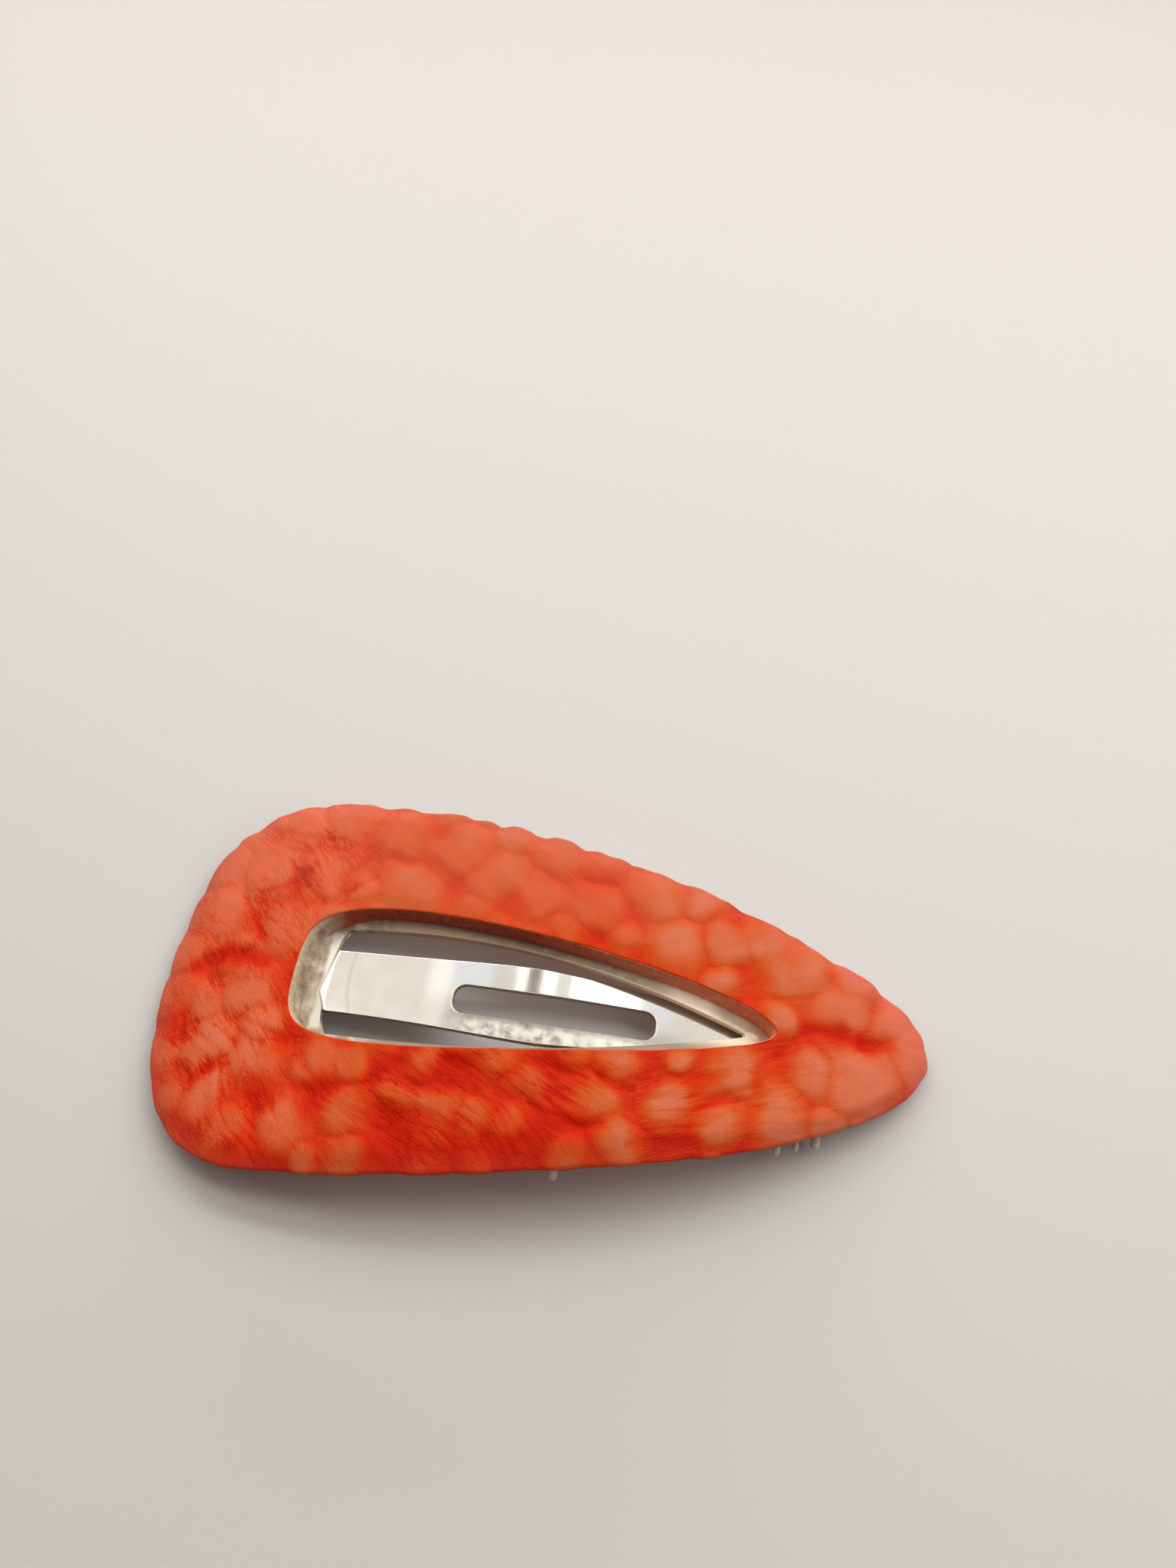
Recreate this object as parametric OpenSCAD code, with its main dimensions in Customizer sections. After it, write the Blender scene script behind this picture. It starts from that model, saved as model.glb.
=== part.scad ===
// Snap hair clip: an arched spring steel clip under a die-cut leather cover.
// X runs from the wide end to the tip, Z is up, and the cover's two ends rest on the table at Z = 0,
// pressed a little flat there.

/* [Leather cover] */
// Length of the cover from its wide end to its tip
cover_length = 66; // [62:1:70]
// Width of the cover at its widest place
cover_width = 33.9; // [31.9:0.2:37.9]
// Distance from the wide end to the widest place
cover_widest_at = 11.7; // [10.7:0.2:14.7]
// Thickness of the leather
cover_thick = 2; // [1.6:0.1:2.4]
// Rise of the cover's underside over the table, half way along
arch_rise = 4.8; // [4.2:0.1:5.2]
// Height that the leather is pressed flat by where its two ends rest
end_press = 0.1; // [0.05:0.05:0.2]

/* [Window] */
// Leather between the wide end and the window
window_start = 11.6; // [11:0.1:12]
// Length of the window
window_length = 40.9; // [40.3:0.1:41.5]
// Width of the window at its widest place
window_width = 12.4; // [11.6:0.1:13]
// Distance from the window's own wide end to its widest place
window_widest_at = 8.5; // [7:0.1:10]

/* [Steel frame] */
// Thickness of the steel sheet
sheet_thick = 0.5; // [0.4:0.05:0.55]
// Layer of glue between the leather and the steel
glue_gap = 0.1; // [0.05:0.05:0.15]
// Leather that stands out past the steel at the wide end
frame_start = 7.1; // [6.7:0.1:7.5]
// Length of the steel frame
frame_length = 51; // [50:0.5:52]
// Width of the steel frame at its widest place
frame_width = 17.6; // [17:0.2:18.4]
// Distance from the frame's own wide end to its widest place
frame_widest_at = 12.4; // [11:0.2:14]
// Band of steel between the frame's wide end and its opening
heel_band = 7; // [6.8:0.1:7.2]
// Length of the opening between the frame's arms
opening_length = 36.2; // [35.6:0.1:36.8]
// Width of the opening at its square end
opening_width = 9.9; // [9.5:0.1:10.3]
// How far the handles of the opening's sides stand out past its square end
opening_bow = 0.3; // [0.1:0.1:0.5]
// Radius of the opening's two square corners
opening_corner = 0.5; // [0.3:0.1:0.8]

/* [Tongue] */
// Length of the tongue from its root at the heel to its tip under the frame's tip
tongue_length = 38.7; // [38.3:0.1:38.9]
// Width of the tongue at its root
tongue_root_width = 5.8; // [5.4:0.1:6.4]
// Width of the tongue at its belly
tongue_belly_width = 7; // [6.6:0.1:7.4]
// Distance from the tongue's root to its belly
tongue_belly_at = 18.5; // [17:0.5:20]
// How far the tongue bows up over a straight line from its root to its tip
tongue_rise = 1.1; // [0.8:0.1:1.3]
// Gap between the tongue's root and the heel that carries it
root_gap = 0.1; // [0.08:0.02:0.2]
// Gap between the tongue's tip and the frame's underside
tip_gap = 0.5; // [0.3:0.05:0.6]
// Distance from the tongue's root to the slot
slot_at = 10.9; // [10.5:0.1:12]
// Length of the slot
slot_length = 17.6; // [16:0.2:18.6]
// Width of the slot
slot_width = 2.7; // [2.3:0.1:3]
// How far the slot lies off the tongue's middle line, towards the front
slot_offset = 0.3; // [0:0.1:0.4]
// Radius of the slot's corners
slot_corner = 1.1; // [0.6:0.1:1.1]

/* [Rivet] */
// Distance from the frame's tip back to the rivet
rivet_inset = 3; // [2.8:0.1:3.2]
// Radius of the rivet's shank
rivet_r = 0.8; // [0.6:0.05:0.9]
// Radius of the rivet's head, under the frame
rivet_head_r = 1.3; // [1.1:0.05:1.4]
// Thickness of the rivet's head
rivet_head_thick = 0.4; // [0.3:0.05:0.5]
// Play of the shank in its hole
rivet_play = 0.05; // [0.03:0.01:0.08]

/* [Hidden] */

// Facets of the large arch cylinders and of the small rivet
$fn = 360;
rivet_facets = 64;
// Steps in each curve of an outline, and in each small corner
curve_steps = 16;
corner_steps = 5;
// How far a cutting body stands out past what it cuts
over = 1;

// Handle lengths of a teardrop's two curves, as shares of its half width or of the curve's length:
// [blunt end, shoulder, flank, nose]
COVER_FORM = [0.53, 0.78, 0.34, 0.51];
WINDOW_FORM = [0.66, 0.98, 0.23, 0.46];
FRAME_FORM = [0.5, 0.6, 0.34, 0.3];
// The tongue's two curves: the handle lengths at the root, the belly and the flank as shares of each curve's
// length, then the widths of the flank's and the nose's handles as shares of the belly's half width
TONGUE_FORM = [0.45, 0.25, 0.38, 0.9, 0.34];
// Where the two handles of the opening's side lie, as shares of its length
OPENING_FORM = [0.25, 0.56];
// The dents that the leather has where it runs out past each end of the steel:
// [X, Y, length, width, depth]
DENTS = [
    [-27.8, -0.5, 7.5, 3.2, 0.4],
    [26.2, 0.2, 5.6, 2.4, 0.35]
];
// Half the width of the opening's end, where the arms meet
opening_nose = 0.15;
// Gap between the rivet's head and the frame's underside
rivet_head_gap = 0.03;

// The arch: the cover's underside is part of a cylinder along Y that dips under the table at both ends
half_length = cover_length / 2;
arch_drop = arch_rise + end_press;
arch_r = (half_length * half_length + arch_drop * arch_drop) / (2 * arch_drop);
arch_z = arch_rise - arch_r;
cover_top_r = arch_r + cover_thick;
frame_top_r = arch_r - glue_gap;
frame_low_r = frame_top_r - sheet_thick;

// Places along X, from distances along the clip
cover_x0 = -half_length;
window_x0 = cover_x0 + window_start;
frame_x0 = cover_x0 + frame_start;
opening_x0 = frame_x0 + heel_band;
tongue_x0 = opening_x0 + root_gap;
tongue_x1 = tongue_x0 + tongue_length;
rivet_x = frame_x0 + frame_length - rivet_inset;

// Where the tongue's top face starts and ends, and the cylinder that joins the two places
root_z = on_arch(frame_top_r, tongue_x0);
tip_z = on_arch(frame_low_r, tongue_x1) - tip_gap;
chord = [tongue_x1 - tongue_x0, tip_z - root_z];
chord_length = norm(chord);
tongue_r = (chord_length * chord_length / 4 + tongue_rise * tongue_rise) / (2 * tongue_rise);
chord_normal = [-chord[1], chord[0]] / chord_length;
tongue_centre = [tongue_x0, root_z] + chord / 2 - chord_normal * (tongue_r - tongue_rise);

// Height of a cylinder of the arch over the table
function on_arch(r, x) = arch_z + sqrt(r * r - x * x);

// Points of a cubic curve from a to d, with the handles b and c
function curve(a, b, c, d) = [
    for (i = [0 : curve_steps]) let (t = i / curve_steps, s = 1 - t)
        s * s * s * a + 3 * s * s * t * b + 3 * s * t * t * c + t * t * t * d
];

// Points of a quarter circle of radius r inside the corner at p, from one side round to the other
function corner(p, r, start) = [
    for (i = [0 : corner_steps]) let (turn = start - 90 * i / corner_steps)
        p + r * [cos(turn), sin(turn)]
];

// A half outline and its mirror image as one closed loop
function both_sides(half) = concat(half, [for (i = [len(half) - 1 : -1 : 0]) [half[i][0], -half[i][1]]]);

// Half a teardrop from x0 to x0 + length: a blunt end up to the widest place, then a long flank to the nose
function teardrop_half(x0, length, width, widest, form) = let (
    w = width / 2, xw = x0 + widest, x1 = x0 + length
) concat(
    curve([x0, 0], [x0, form[0] * w], [xw - form[1] * widest, w], [xw, w]),
    curve([xw, w], [xw + form[2] * (length - widest), w], [x1, form[3] * w], [x1, 0])
);

// Half of the opening between the arms: a square end at the heel, a slight belly, a sharp end at the tip
function opening_half() = let (
    w = opening_width / 2, r = opening_corner, x0 = opening_x0, l = opening_length, f = OPENING_FORM
) concat(
    corner([x0 + r, w - r], r, 180),
    curve([x0 + 2 * r, w], [x0 + l * f[0], w + opening_bow],
          [x0 + l * f[1], w + opening_bow], [x0 + l, opening_nose])
);

// Half of the tongue: a straight root, sides that widen to the belly, then a leaf's rounded tip
function tongue_half() = let (
    root = tongue_root_width / 2, belly = tongue_belly_width / 2, f = TONGUE_FORM,
    side = tongue_belly_at, xb = tongue_x0 + side, flank = tongue_length - side
) concat(
    curve([tongue_x0, root], [tongue_x0 + side * f[0], root], [xb - side * f[1], belly], [xb, belly]),
    curve([xb, belly], [xb + flank * f[2], belly * f[3]], [tongue_x1, belly * f[4]], [tongue_x1, 0])
);

// Half of the slot: a bar with rounded corners
function slot_half() = let (
    w = slot_width / 2, r = slot_corner, x0 = tongue_x0 + slot_at, x1 = x0 + slot_length
) concat(
    corner([x0 + r, w - r], r, 180),
    corner([x1 - r, w - r], r, 90)
);

// Outlines of the cover, its window and the steel frame, as closed loops
function cover_outline() =
    both_sides(teardrop_half(cover_x0, cover_length, cover_width, cover_widest_at, COVER_FORM));
function window_outline() =
    both_sides(teardrop_half(window_x0, window_length, window_width, window_widest_at, WINDOW_FORM));
function frame_outline() =
    both_sides(teardrop_half(frame_x0, frame_length, frame_width, frame_widest_at, FRAME_FORM));

// The part of an outline of the given width that lies over the table, between two cylinders of one centre
// that both run along Y
module arched(centre, low_r, top_r, width) {
    intersection() {
        translate([centre[0], 0, centre[1]]) rotate([90, 0, 0]) difference() {
            cylinder(r = top_r, h = width + 2 * over, center = true);
            cylinder(r = low_r, h = width + 4 * over, center = true);
        }
        linear_extrude(height = arch_rise + cover_thick + over) children();
    }
}

// What stands at x on a cylinder of the arch, along its normal, with its zero on the cylinder
module on_arch_at(r, x) {
    translate([0, 0, arch_z]) rotate([0, asin(x / r), 0]) translate([0, 0, r]) children();
}

// A ring whose lowest stretch scoops out one long, narrow dent of a row of DENTS
module dent_ring(length, width, depth) {
    long_r = 1 / (8 * depth / (length * length) - 1 / cover_top_r);
    cross_r = (width * width / 4 + depth * depth) / (2 * depth);
    translate([0, 0, long_r - depth]) rotate([90, 0, 0])
        rotate_extrude() translate([long_r - cross_r, 0]) circle(r = cross_r);
}

module leather_cover() {
    color([0.85, 0.29, 0.17]) difference() {
        arched([0, arch_z], arch_r, cover_top_r, cover_width)
            difference() {
                polygon(cover_outline());
                polygon(window_outline());
            }
        for (d = DENTS)
            on_arch_at(cover_top_r, d[0]) translate([0, d[1], 0]) dent_ring(d[2], d[3], d[4]);
    }
}

module clip_frame() {
    color([0.75, 0.73, 0.68]) difference() {
        arched([0, arch_z], frame_low_r, frame_top_r, frame_width)
            difference() {
                polygon(frame_outline());
                polygon(both_sides(opening_half()));
            }
        on_arch_at(frame_top_r, rivet_x)
            cylinder(r = rivet_r + rivet_play, h = 4 * sheet_thick, center = true, $fn = rivet_facets);
    }
}

module clip_tongue() {
    color([0.82, 0.8, 0.74]) arched(tongue_centre, tongue_r - sheet_thick, tongue_r, tongue_belly_width)
        difference() {
            polygon(both_sides(tongue_half()));
            translate([0, -slot_offset]) polygon(both_sides(slot_half()));
        }
}

// The shank is flush with the frame's top, under the leather, and the head lies against its underside
module tip_rivet() {
    color([0.7, 0.68, 0.62]) on_arch_at(frame_top_r, rivet_x)
        translate([0, 0, -sheet_thick - rivet_head_thick]) {
            cylinder(r = rivet_r, h = sheet_thick + rivet_head_thick, $fn = rivet_facets);
            cylinder(r = rivet_head_r, h = rivet_head_thick - rivet_head_gap, $fn = rivet_facets);
        }
}

leather_cover();
clip_frame();
clip_tongue();
tip_rivet();
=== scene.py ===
# %% [markdown]
# # A leather-covered snap clip for the hair
#
# The object is small: 66 mm long, 34 mm wide and under 7 mm high. A spring steel clip with a slotted
# tongue lies under a teardrop of coral red, pebbled leather, and shows through the leather's window.
#
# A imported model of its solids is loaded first. It gives every piece its place and size, so that nothing
# here has to be fitted by hand. Each visible piece is then made anew as a finer surface over its solid.

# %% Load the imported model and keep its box
import math
import bpy
import numpy as np
from mathutils import Matrix, Vector


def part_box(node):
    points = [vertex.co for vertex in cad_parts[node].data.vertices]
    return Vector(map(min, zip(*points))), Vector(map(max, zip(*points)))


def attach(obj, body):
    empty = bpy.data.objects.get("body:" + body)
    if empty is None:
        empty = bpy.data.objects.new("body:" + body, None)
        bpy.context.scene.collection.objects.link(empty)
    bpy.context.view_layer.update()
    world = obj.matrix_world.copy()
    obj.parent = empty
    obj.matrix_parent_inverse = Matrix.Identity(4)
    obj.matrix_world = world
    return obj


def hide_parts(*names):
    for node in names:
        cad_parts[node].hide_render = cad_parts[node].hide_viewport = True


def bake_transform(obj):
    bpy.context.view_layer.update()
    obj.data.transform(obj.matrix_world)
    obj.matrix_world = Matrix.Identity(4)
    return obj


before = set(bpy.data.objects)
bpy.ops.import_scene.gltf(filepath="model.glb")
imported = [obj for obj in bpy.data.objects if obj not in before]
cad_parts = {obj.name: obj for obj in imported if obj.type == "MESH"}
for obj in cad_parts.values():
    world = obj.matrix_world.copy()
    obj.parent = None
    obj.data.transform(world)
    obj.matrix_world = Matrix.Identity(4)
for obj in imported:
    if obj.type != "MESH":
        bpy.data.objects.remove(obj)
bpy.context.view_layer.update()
MM = 0.001

# %% [markdown]
# ## Sizes
#
# The boxes of the solids already say how long and wide each piece is and where it starts. What a box
# can't say, such as how far along a teardrop is widest, is repeated here as a real size.

# %% Sizes of the pieces
cover_low, cover_high = (np.array(c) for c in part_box("leather_cover"))
steel_low, steel_high = (np.array(c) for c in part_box("clip_frame"))
tongue_low, tongue_high = (np.array(c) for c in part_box("clip_tongue"))

cover_x0 = cover_low[0]
cover_length, cover_width = (cover_high - cover_low)[:2]
cover_widest_at, cover_thick = 11.7 * MM, 2 * MM
arch_rise, end_press = cover_high[2] - cover_thick, 0.1 * MM

window_x0, window_length, window_width = cover_x0 + 11.6 * MM, 40.9 * MM, 12.4 * MM
window_widest_at = 8.5 * MM

steel_x0 = steel_low[0]
steel_length, steel_width = (steel_high - steel_low)[:2]
steel_widest_at = 12.4 * MM
sheet_thick, glue_gap = 0.5 * MM, 0.1 * MM
opening_x0, opening_length, opening_width = steel_x0 + 7 * MM, 36.2 * MM, 9.9 * MM
opening_bow, opening_corner, opening_nose = 0.3 * MM, 0.5 * MM, 0.15 * MM

tongue_x0 = tongue_low[0]
tongue_length, tongue_belly_width = (tongue_high - tongue_low)[:2]
tongue_root_width, tongue_belly_at = 5.8 * MM, 18.5 * MM
tongue_rise, tip_gap = 1.1 * MM, 0.5 * MM
slot_x0, slot_length, slot_width = tongue_x0 + 10.9 * MM, 17.6 * MM, 2.7 * MM
slot_offset, slot_corner = -0.3 * MM, 1.1 * MM
# Over the heel the tongue's root ends in a low point, which leans to the front and slopes down
root_point, root_point_y, heel_slope = 0.85 * MM, -1.2 * MM, 0.1

# Handle lengths of the teardrops' curves: blunt end, shoulder, flank, nose
COVER_FORM = (0.53, 0.78, 0.34, 0.51)
WINDOW_FORM = (0.66, 0.98, 0.23, 0.46)
STEEL_FORM = (0.5, 0.6, 0.34, 0.3)
# The tongue's: root, belly towards the root, flank along and across, nose. The opening's: two along it
TONGUE_FORM = (0.45, 0.25, 0.38, 0.9, 0.34)
OPENING_FORM = (0.25, 0.56)

# The arch is a cylinder along Y, through the cover's underside
half_length = cover_length / 2
arch_drop = arch_rise + end_press
arch_r = (half_length ** 2 + arch_drop ** 2) / (2 * arch_drop)
arch_z = arch_rise - arch_r
print("radius of the arch in mm:", round(arch_r / MM, 2), " rise:", round(arch_rise / MM, 2))

# %% [markdown]
# ## The camera
#
# A camera in Blender looks down its own -Z axis, with +Y up. Three turns aim it: a roll about its own
# axis, a tilt down from level, and a turn about the vertical. The lens of 27 mm on a 36 mm sensor is a
# phone's wide lens, held about ten centimetres over the clip. The near clipping distance has to be
# smaller than that, or the clip would vanish.

# %% Camera
CAMERA_PLACE = (5.83 * MM, -40.93 * MM, 98.64 * MM)
CAMERA_TURN, CAMERA_DOWN, CAMERA_ROLL = math.radians(-4.53), math.radians(55.70), math.radians(3.56)

camera_data = bpy.data.cameras.new("photo_camera")
camera_data.lens, camera_data.sensor_width = 27, 36
camera_data.clip_start, camera_data.clip_end = 5 * MM, 20
camera = bpy.data.objects.new("photo_camera", camera_data)
camera.matrix_world = (Matrix.Translation(CAMERA_PLACE) @ Matrix.Rotation(-CAMERA_TURN, 4, "Z")
                       @ Matrix.Rotation(math.pi / 2 - CAMERA_DOWN, 4, "X")
                       @ Matrix.Rotation(CAMERA_ROLL, 4, "Z"))
bpy.context.scene.collection.objects.link(camera)
bpy.context.scene.camera = camera
bpy.context.scene.view_settings.view_transform = "Standard"
print("camera at", [round(c / MM, 1) for c in CAMERA_PLACE], "mm")

# %% [markdown]
# ## Curves and loops
#
# Every flat outline here is a half outline above the X axis and its mirror image below. A half runs from
# the nose along the flank to the widest place, and then round the blunt end to the middle line. Both
# stretches are cubic curves, sampled finely and then spaced evenly, so that two nested outlines with the
# same number of points pair up well.

# %% Cubic curves, even spacing and closed loops
FINE = 400


def cubic(a, b, c, d):
    """Points of a cubic from a to d: (1-t)^3 a + 3(1-t)^2 t b + 3(1-t) t^2 c + t^3 d."""
    t = np.linspace(0, 1, FINE)[:, None]
    a, b, c, d = (np.array(p, float) for p in (a, b, c, d))
    return (1 - t) ** 3 * a + 3 * (1 - t) ** 2 * t * b + 3 * (1 - t) * t ** 2 * c + t ** 3 * d


def quarter(centre, radius, start):
    """Points of a quarter circle, clockwise from the start angle: centre + radius (cos, sin)."""
    turn = np.radians(np.linspace(start, start - 90, FINE // 8))
    return np.array(centre) + radius * np.column_stack([np.cos(turn), np.sin(turn)])


def even(points, count):
    """The same line with count steps of equal length, by its running length."""
    run = np.concatenate([[0], np.cumsum(np.hypot(*np.diff(points, axis=0).T))])
    at = np.linspace(0, run[-1], count + 1)
    return np.column_stack([np.interp(at, run, points[:, k]) for k in (0, 1)])


def closed_loop(flank, blunt, steps):
    """A half outline of two stretches and its mirror image, as one loop that starts at the nose."""
    half = np.vstack([even(flank, steps[0])[:-1], even(blunt, steps[1])])
    return np.vstack([half, half[-2:0:-1] * (1, -1)])


def teardrop(x0, length, width, widest, form):
    """The flank and the blunt end of half a teardrop, with handles as shares of its sizes."""
    w, xw, x1 = width / 2, x0 + widest, x0 + length
    flank = cubic([x1, 0], [x1, form[3] * w], [xw + form[2] * (length - widest), w], [xw, w])
    blunt = cubic([xw, w], [xw - form[1] * widest, w], [x0, form[0] * w], [x0, 0])
    return flank, blunt


# %% [markdown]
# ## One kind of surface for all three sheets
#
# Leather, steel frame and tongue are all flat sheets with a hole, bent over a cylinder. So they share
# one surface with two parameters. The first, u, goes round the ring, along a pair of matching points on
# the inner and the outer outline. The second, v, goes round the cut through the sheet: up the inner
# wall, across the top, down the outer wall and back underneath. Because both directions close, the mesh
# has no open edge. Each sheet is made flat, gets its relief while it is flat, and is bent last. The
# Solidify modifier could thicken a flat face too, but its walls would have no rows to round or to press.

# %% Ring surfaces
# Heights of the rows on a wall. The second lies close to the foot, so that the smooth shading stays crisp
WALL_ROWS = (0, 0.03, 0.25, 0.5, 0.75)


def section(rim_in, rim_out, thick, across, under, support=0):
    """The cut through a sheet as rows of inset from the inner edge, inset from the outer edge and height.

    rim_in and rim_out are (inset, drop, steps) of an elliptical edge: inset (1 - sin), drop (1 - cos).
    A support row that far behind the inner rim keeps the smooth shading of a wide face flat.
    A row with NaN insets lies between the two rims, at the share in its last column."""
    rows = []

    def edge(rim, sign):
        """The edge from the wall up to the face, or with a sign of -1 from the face down."""
        inset, drop, steps = rim
        turn = np.linspace(np.pi / 2, 0, steps + 1)
        part = np.column_stack([inset * (1 - np.sin(turn)), thick - drop * (1 - np.cos(turn))])
        return part if sign > 0 else part[::-1]

    for inset, height in edge(rim_in, 1):
        rows.append((inset, np.nan, height, 0))
    if support:
        rows.append((rim_in[0] + support, np.nan, thick, 0))
    for share in np.arange(1, across) / across:
        rows.append((np.nan, np.nan, thick, share))
    for inset, height in edge(rim_out, -1):
        rows.append((np.nan, inset, height, 1))
    for share in WALL_ROWS[::-1]:
        rows.append((np.nan, 0, (thick - rim_out[1]) * share, 1))
    for share in 1 - np.arange(1, under) / under:
        rows.append((np.nan, np.nan, 0, share))
    for share in WALL_ROWS:
        rows.append((0, np.nan, (thick - rim_in[1]) * share, 0))
    return np.array(rows)


def ring_grid(inner, outer, cut, rim_in, rim_out):
    """Flat grid of points (u, v): each pair of outline points, blended by the row's place across the
    ring. The place is inset / width, 1 - inset / width, or the row's share of the way between the rims."""
    width = np.hypot(*(outer - inner).T)[:, None]
    near, far = cut[None, :, 0] / width, 1 - cut[None, :, 1] / width
    low, high = rim_in / width, 1 - rim_out / width
    share = low + (high - low) * cut[None, :, 3]
    share = np.where(np.isnan(near), np.where(np.isnan(far), share, far), near)
    flat = inner[:, None] + (outer - inner)[:, None] * share[..., None]
    return np.dstack([flat, np.broadcast_to(cut[None, :, 2], share.shape)])


def grid_normals(grid):
    """Unit normals of a grid closed both ways: across x along, from central differences."""
    along = np.roll(grid, -1, 0) - np.roll(grid, 1, 0)
    across = np.roll(grid, -1, 1) - np.roll(grid, 1, 1)
    normal = np.cross(across, along)
    return normal / np.linalg.norm(normal, axis=2, keepdims=True)


def bend(flat, radius, centre, base):
    """Lays a flat sheet on a cylinder along Y: the angle is asin((x - centre x) / radius), and a point at
    height h stands h over base on the cylinder's normal there."""
    angle = np.arcsin((flat[..., 0] - centre[0]) / radius)
    reach = radius + base + flat[..., 2]
    x, z = centre[0] + reach * np.sin(angle), centre[1] + reach * np.cos(angle)
    return np.stack([x, flat[..., 1], z], -1)


def outward(loop):
    """Unit normals of a flat loop that runs anticlockwise: (dy, -dx) / length."""
    step = np.roll(loop, -1, 0) - np.roll(loop, 1, 0)
    return np.column_stack([step[:, 1], -step[:, 0]]) / np.hypot(*step.T)[:, None]


def mesh_from_grid(name, grid, values=()):
    """A mesh piece from a grid closed both ways: one quad for each step in u and v, facing outwards."""
    nu, nv = grid.shape[:2]
    i, j = np.meshgrid(np.arange(nu), np.arange(nv), indexing="ij")
    i2, j2 = (i + 1) % nu, (j + 1) % nv
    quads = np.stack([i * nv + j, i * nv + j2, i2 * nv + j2, i2 * nv + j], -1).reshape(-1, 4)
    mesh = bpy.data.meshes.new(name)
    mesh.vertices.add(nu * nv)
    mesh.vertices.foreach_set("co", grid.astype(np.float32).ravel())
    mesh.loops.add(quads.size)
    mesh.loops.foreach_set("vertex_index", quads.astype(np.int32).ravel())
    mesh.polygons.add(len(quads))
    mesh.polygons.foreach_set("loop_start", np.arange(0, quads.size, 4, dtype=np.int32))
    mesh.update(calc_edges=True)
    mesh.shade_smooth()
    for key, value in dict(values).items():
        layer = mesh.attributes.new(key, "FLOAT", "POINT")
        layer.data.foreach_set("value", np.broadcast_to(value, (nu, nv)).astype(np.float32).ravel())
    piece = bpy.data.objects.new(name, mesh)
    bpy.context.scene.collection.objects.link(piece)
    print(name, "has", len(quads), "quads")
    return piece


# %% [markdown]
# ## Random detail that is the same each time
#
# Value noise is enough for leather: random numbers sit on a square lattice, and a point takes a smooth
# blend of the four round it. The seed is fixed, so the clip looks the same in every run.

# %% Value noise and soft steps
LATTICE = 97


def noise(x, y, seed):
    """Smooth random field from 0 to 1: the four lattice values round (x, y), blended by 3t^2 - 2t^3."""
    table = np.random.default_rng(seed).random((LATTICE, LATTICE))
    i, j = np.floor(x).astype(int), np.floor(y).astype(int)
    s, t = (f * f * (3 - 2 * f) for f in (x - i, y - j))
    corner = [table[(i + a) % LATTICE, (j + b) % LATTICE] for a in (0, 1) for b in (0, 1)]
    return (corner[0] * (1 - t) + corner[1] * t) * (1 - s) + (corner[2] * (1 - t) + corner[3] * t) * s


def soft_step(x, low, high):
    """0 under low, 1 over high, and 3t^2 - 2t^3 between."""
    t = np.clip((x - low) / (high - low), 0, 1)
    return t * t * (3 - 2 * t)


# %% [markdown]
# ## The pebbles of the leather
#
# Pebbled leather is a field of soft cushions with valleys between them. It could be sculpted by hand, but
# a formula can be read and changed. Each cushion gets a centre and a radius, and is a cap with a wide
# flat top. Where two caps meet, a soft maximum rounds the valley between them, and a thin line marks its
# bottom. Where no cap is near, a deeper hollow is left. The larger cushions, the creases and the dents
# are charted in millimetres on the flat leather, because they give this clip its own face.
# Smaller cushions fill the rest at random. Fine folds run over them all: steeply across the wide end,
# and more along the leather towards the tip. Hairlines thinner than the mesh are left to the finish.

# %% Chart of the pebbles, hollows and creases
# Centre X, centre Y and radius of each large pebble, in millimetres
PEBBLES = np.array([
    # Rear band, from the wide end to the tip
    (-25.2, 14.4, 2.2), (-20.3, 16.0, 2.2), (-15.0, 13.8, 2.1), (-10.2, 12.7, 2.5), (-5.6, 10.4, 2.4),
    (-5.0, 14.6, 1.7), (-0.7, 13.5, 1.9), (3.9, 13.2, 1.7), (8.2, 11.1, 2.4), (13.0, 11.0, 1.9),
    (-26.6, 10.5, 2.5), (-21.4, 9.5, 2.1), (-13.2, 8.3, 2.4), (-7.0, 7.0, 1.6), (-1.6, 8.4, 2.0),
    (3.1, 8.5, 2.1), (6.4, 5.7, 1.5), (10.6, 6.3, 2.4), (15.4, 7.4, 1.9), (18.3, 8.3, 2.0),
    (14.8, 3.4, 1.6), (21.0, 5.8, 2.5), (20.3, 1.1, 1.2), (25.5, 3.4, 2.0), (26.6, 6.3, 1.5),
    (30.4, 2.9, 2.1),
    # Wide end
    (-30.7, 9.4, 1.9), (-30.0, 5.3, 2.3), (-23.2, 3.6, 2.3), (-32.0, 1.2, 1.7), (-25.0, -2.0, 2.1),
    (-31.6, -2.8, 1.9), (-28.6, -3.9, 1.7), (-22.6, -5.2, 1.6), (-27.5, -7.4, 2.0), (-22.8, -8.6, 2.1),
    (-31.0, -8.6, 1.9), (-26.1, -11.8, 2.0), (-29.6, -12.0, 1.6),
    # Front band, from the wide end to the tip
    (-23.6, -14.4, 1.9), (-18.6, -13.9, 2.2), (-17.4, -7.8, 1.8), (-14.5, -8.0, 1.4), (-13.9, -11.8, 1.8),
    (-13.2, -15.5, 1.7), (-16.4, -16.2, 1.3), (-8.4, -6.9, 1.4), (-7.0, -10.8, 1.7), (-3.2, -6.2, 1.6),
    (-3.9, -11.5, 1.6), (-0.2, -8.1, 1.5), (-1.3, -11.8, 1.2), (3.8, -12.8, 1.5), (5.3, -8.8, 1.7),
    (6.6, -5.1, 1.4), (7.8, -11.7, 1.8), (11.0, -8.1, 2.0), (11.6, -4.0, 1.3), (15.3, -9.1, 1.8),
    (16.2, -4.2, 1.9), (20.3, -7.5, 2.3), (22.5, -3.4, 1.8), (27.4, -2.9, 2.9), (31.4, 0.0, 1.9),
])
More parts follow.
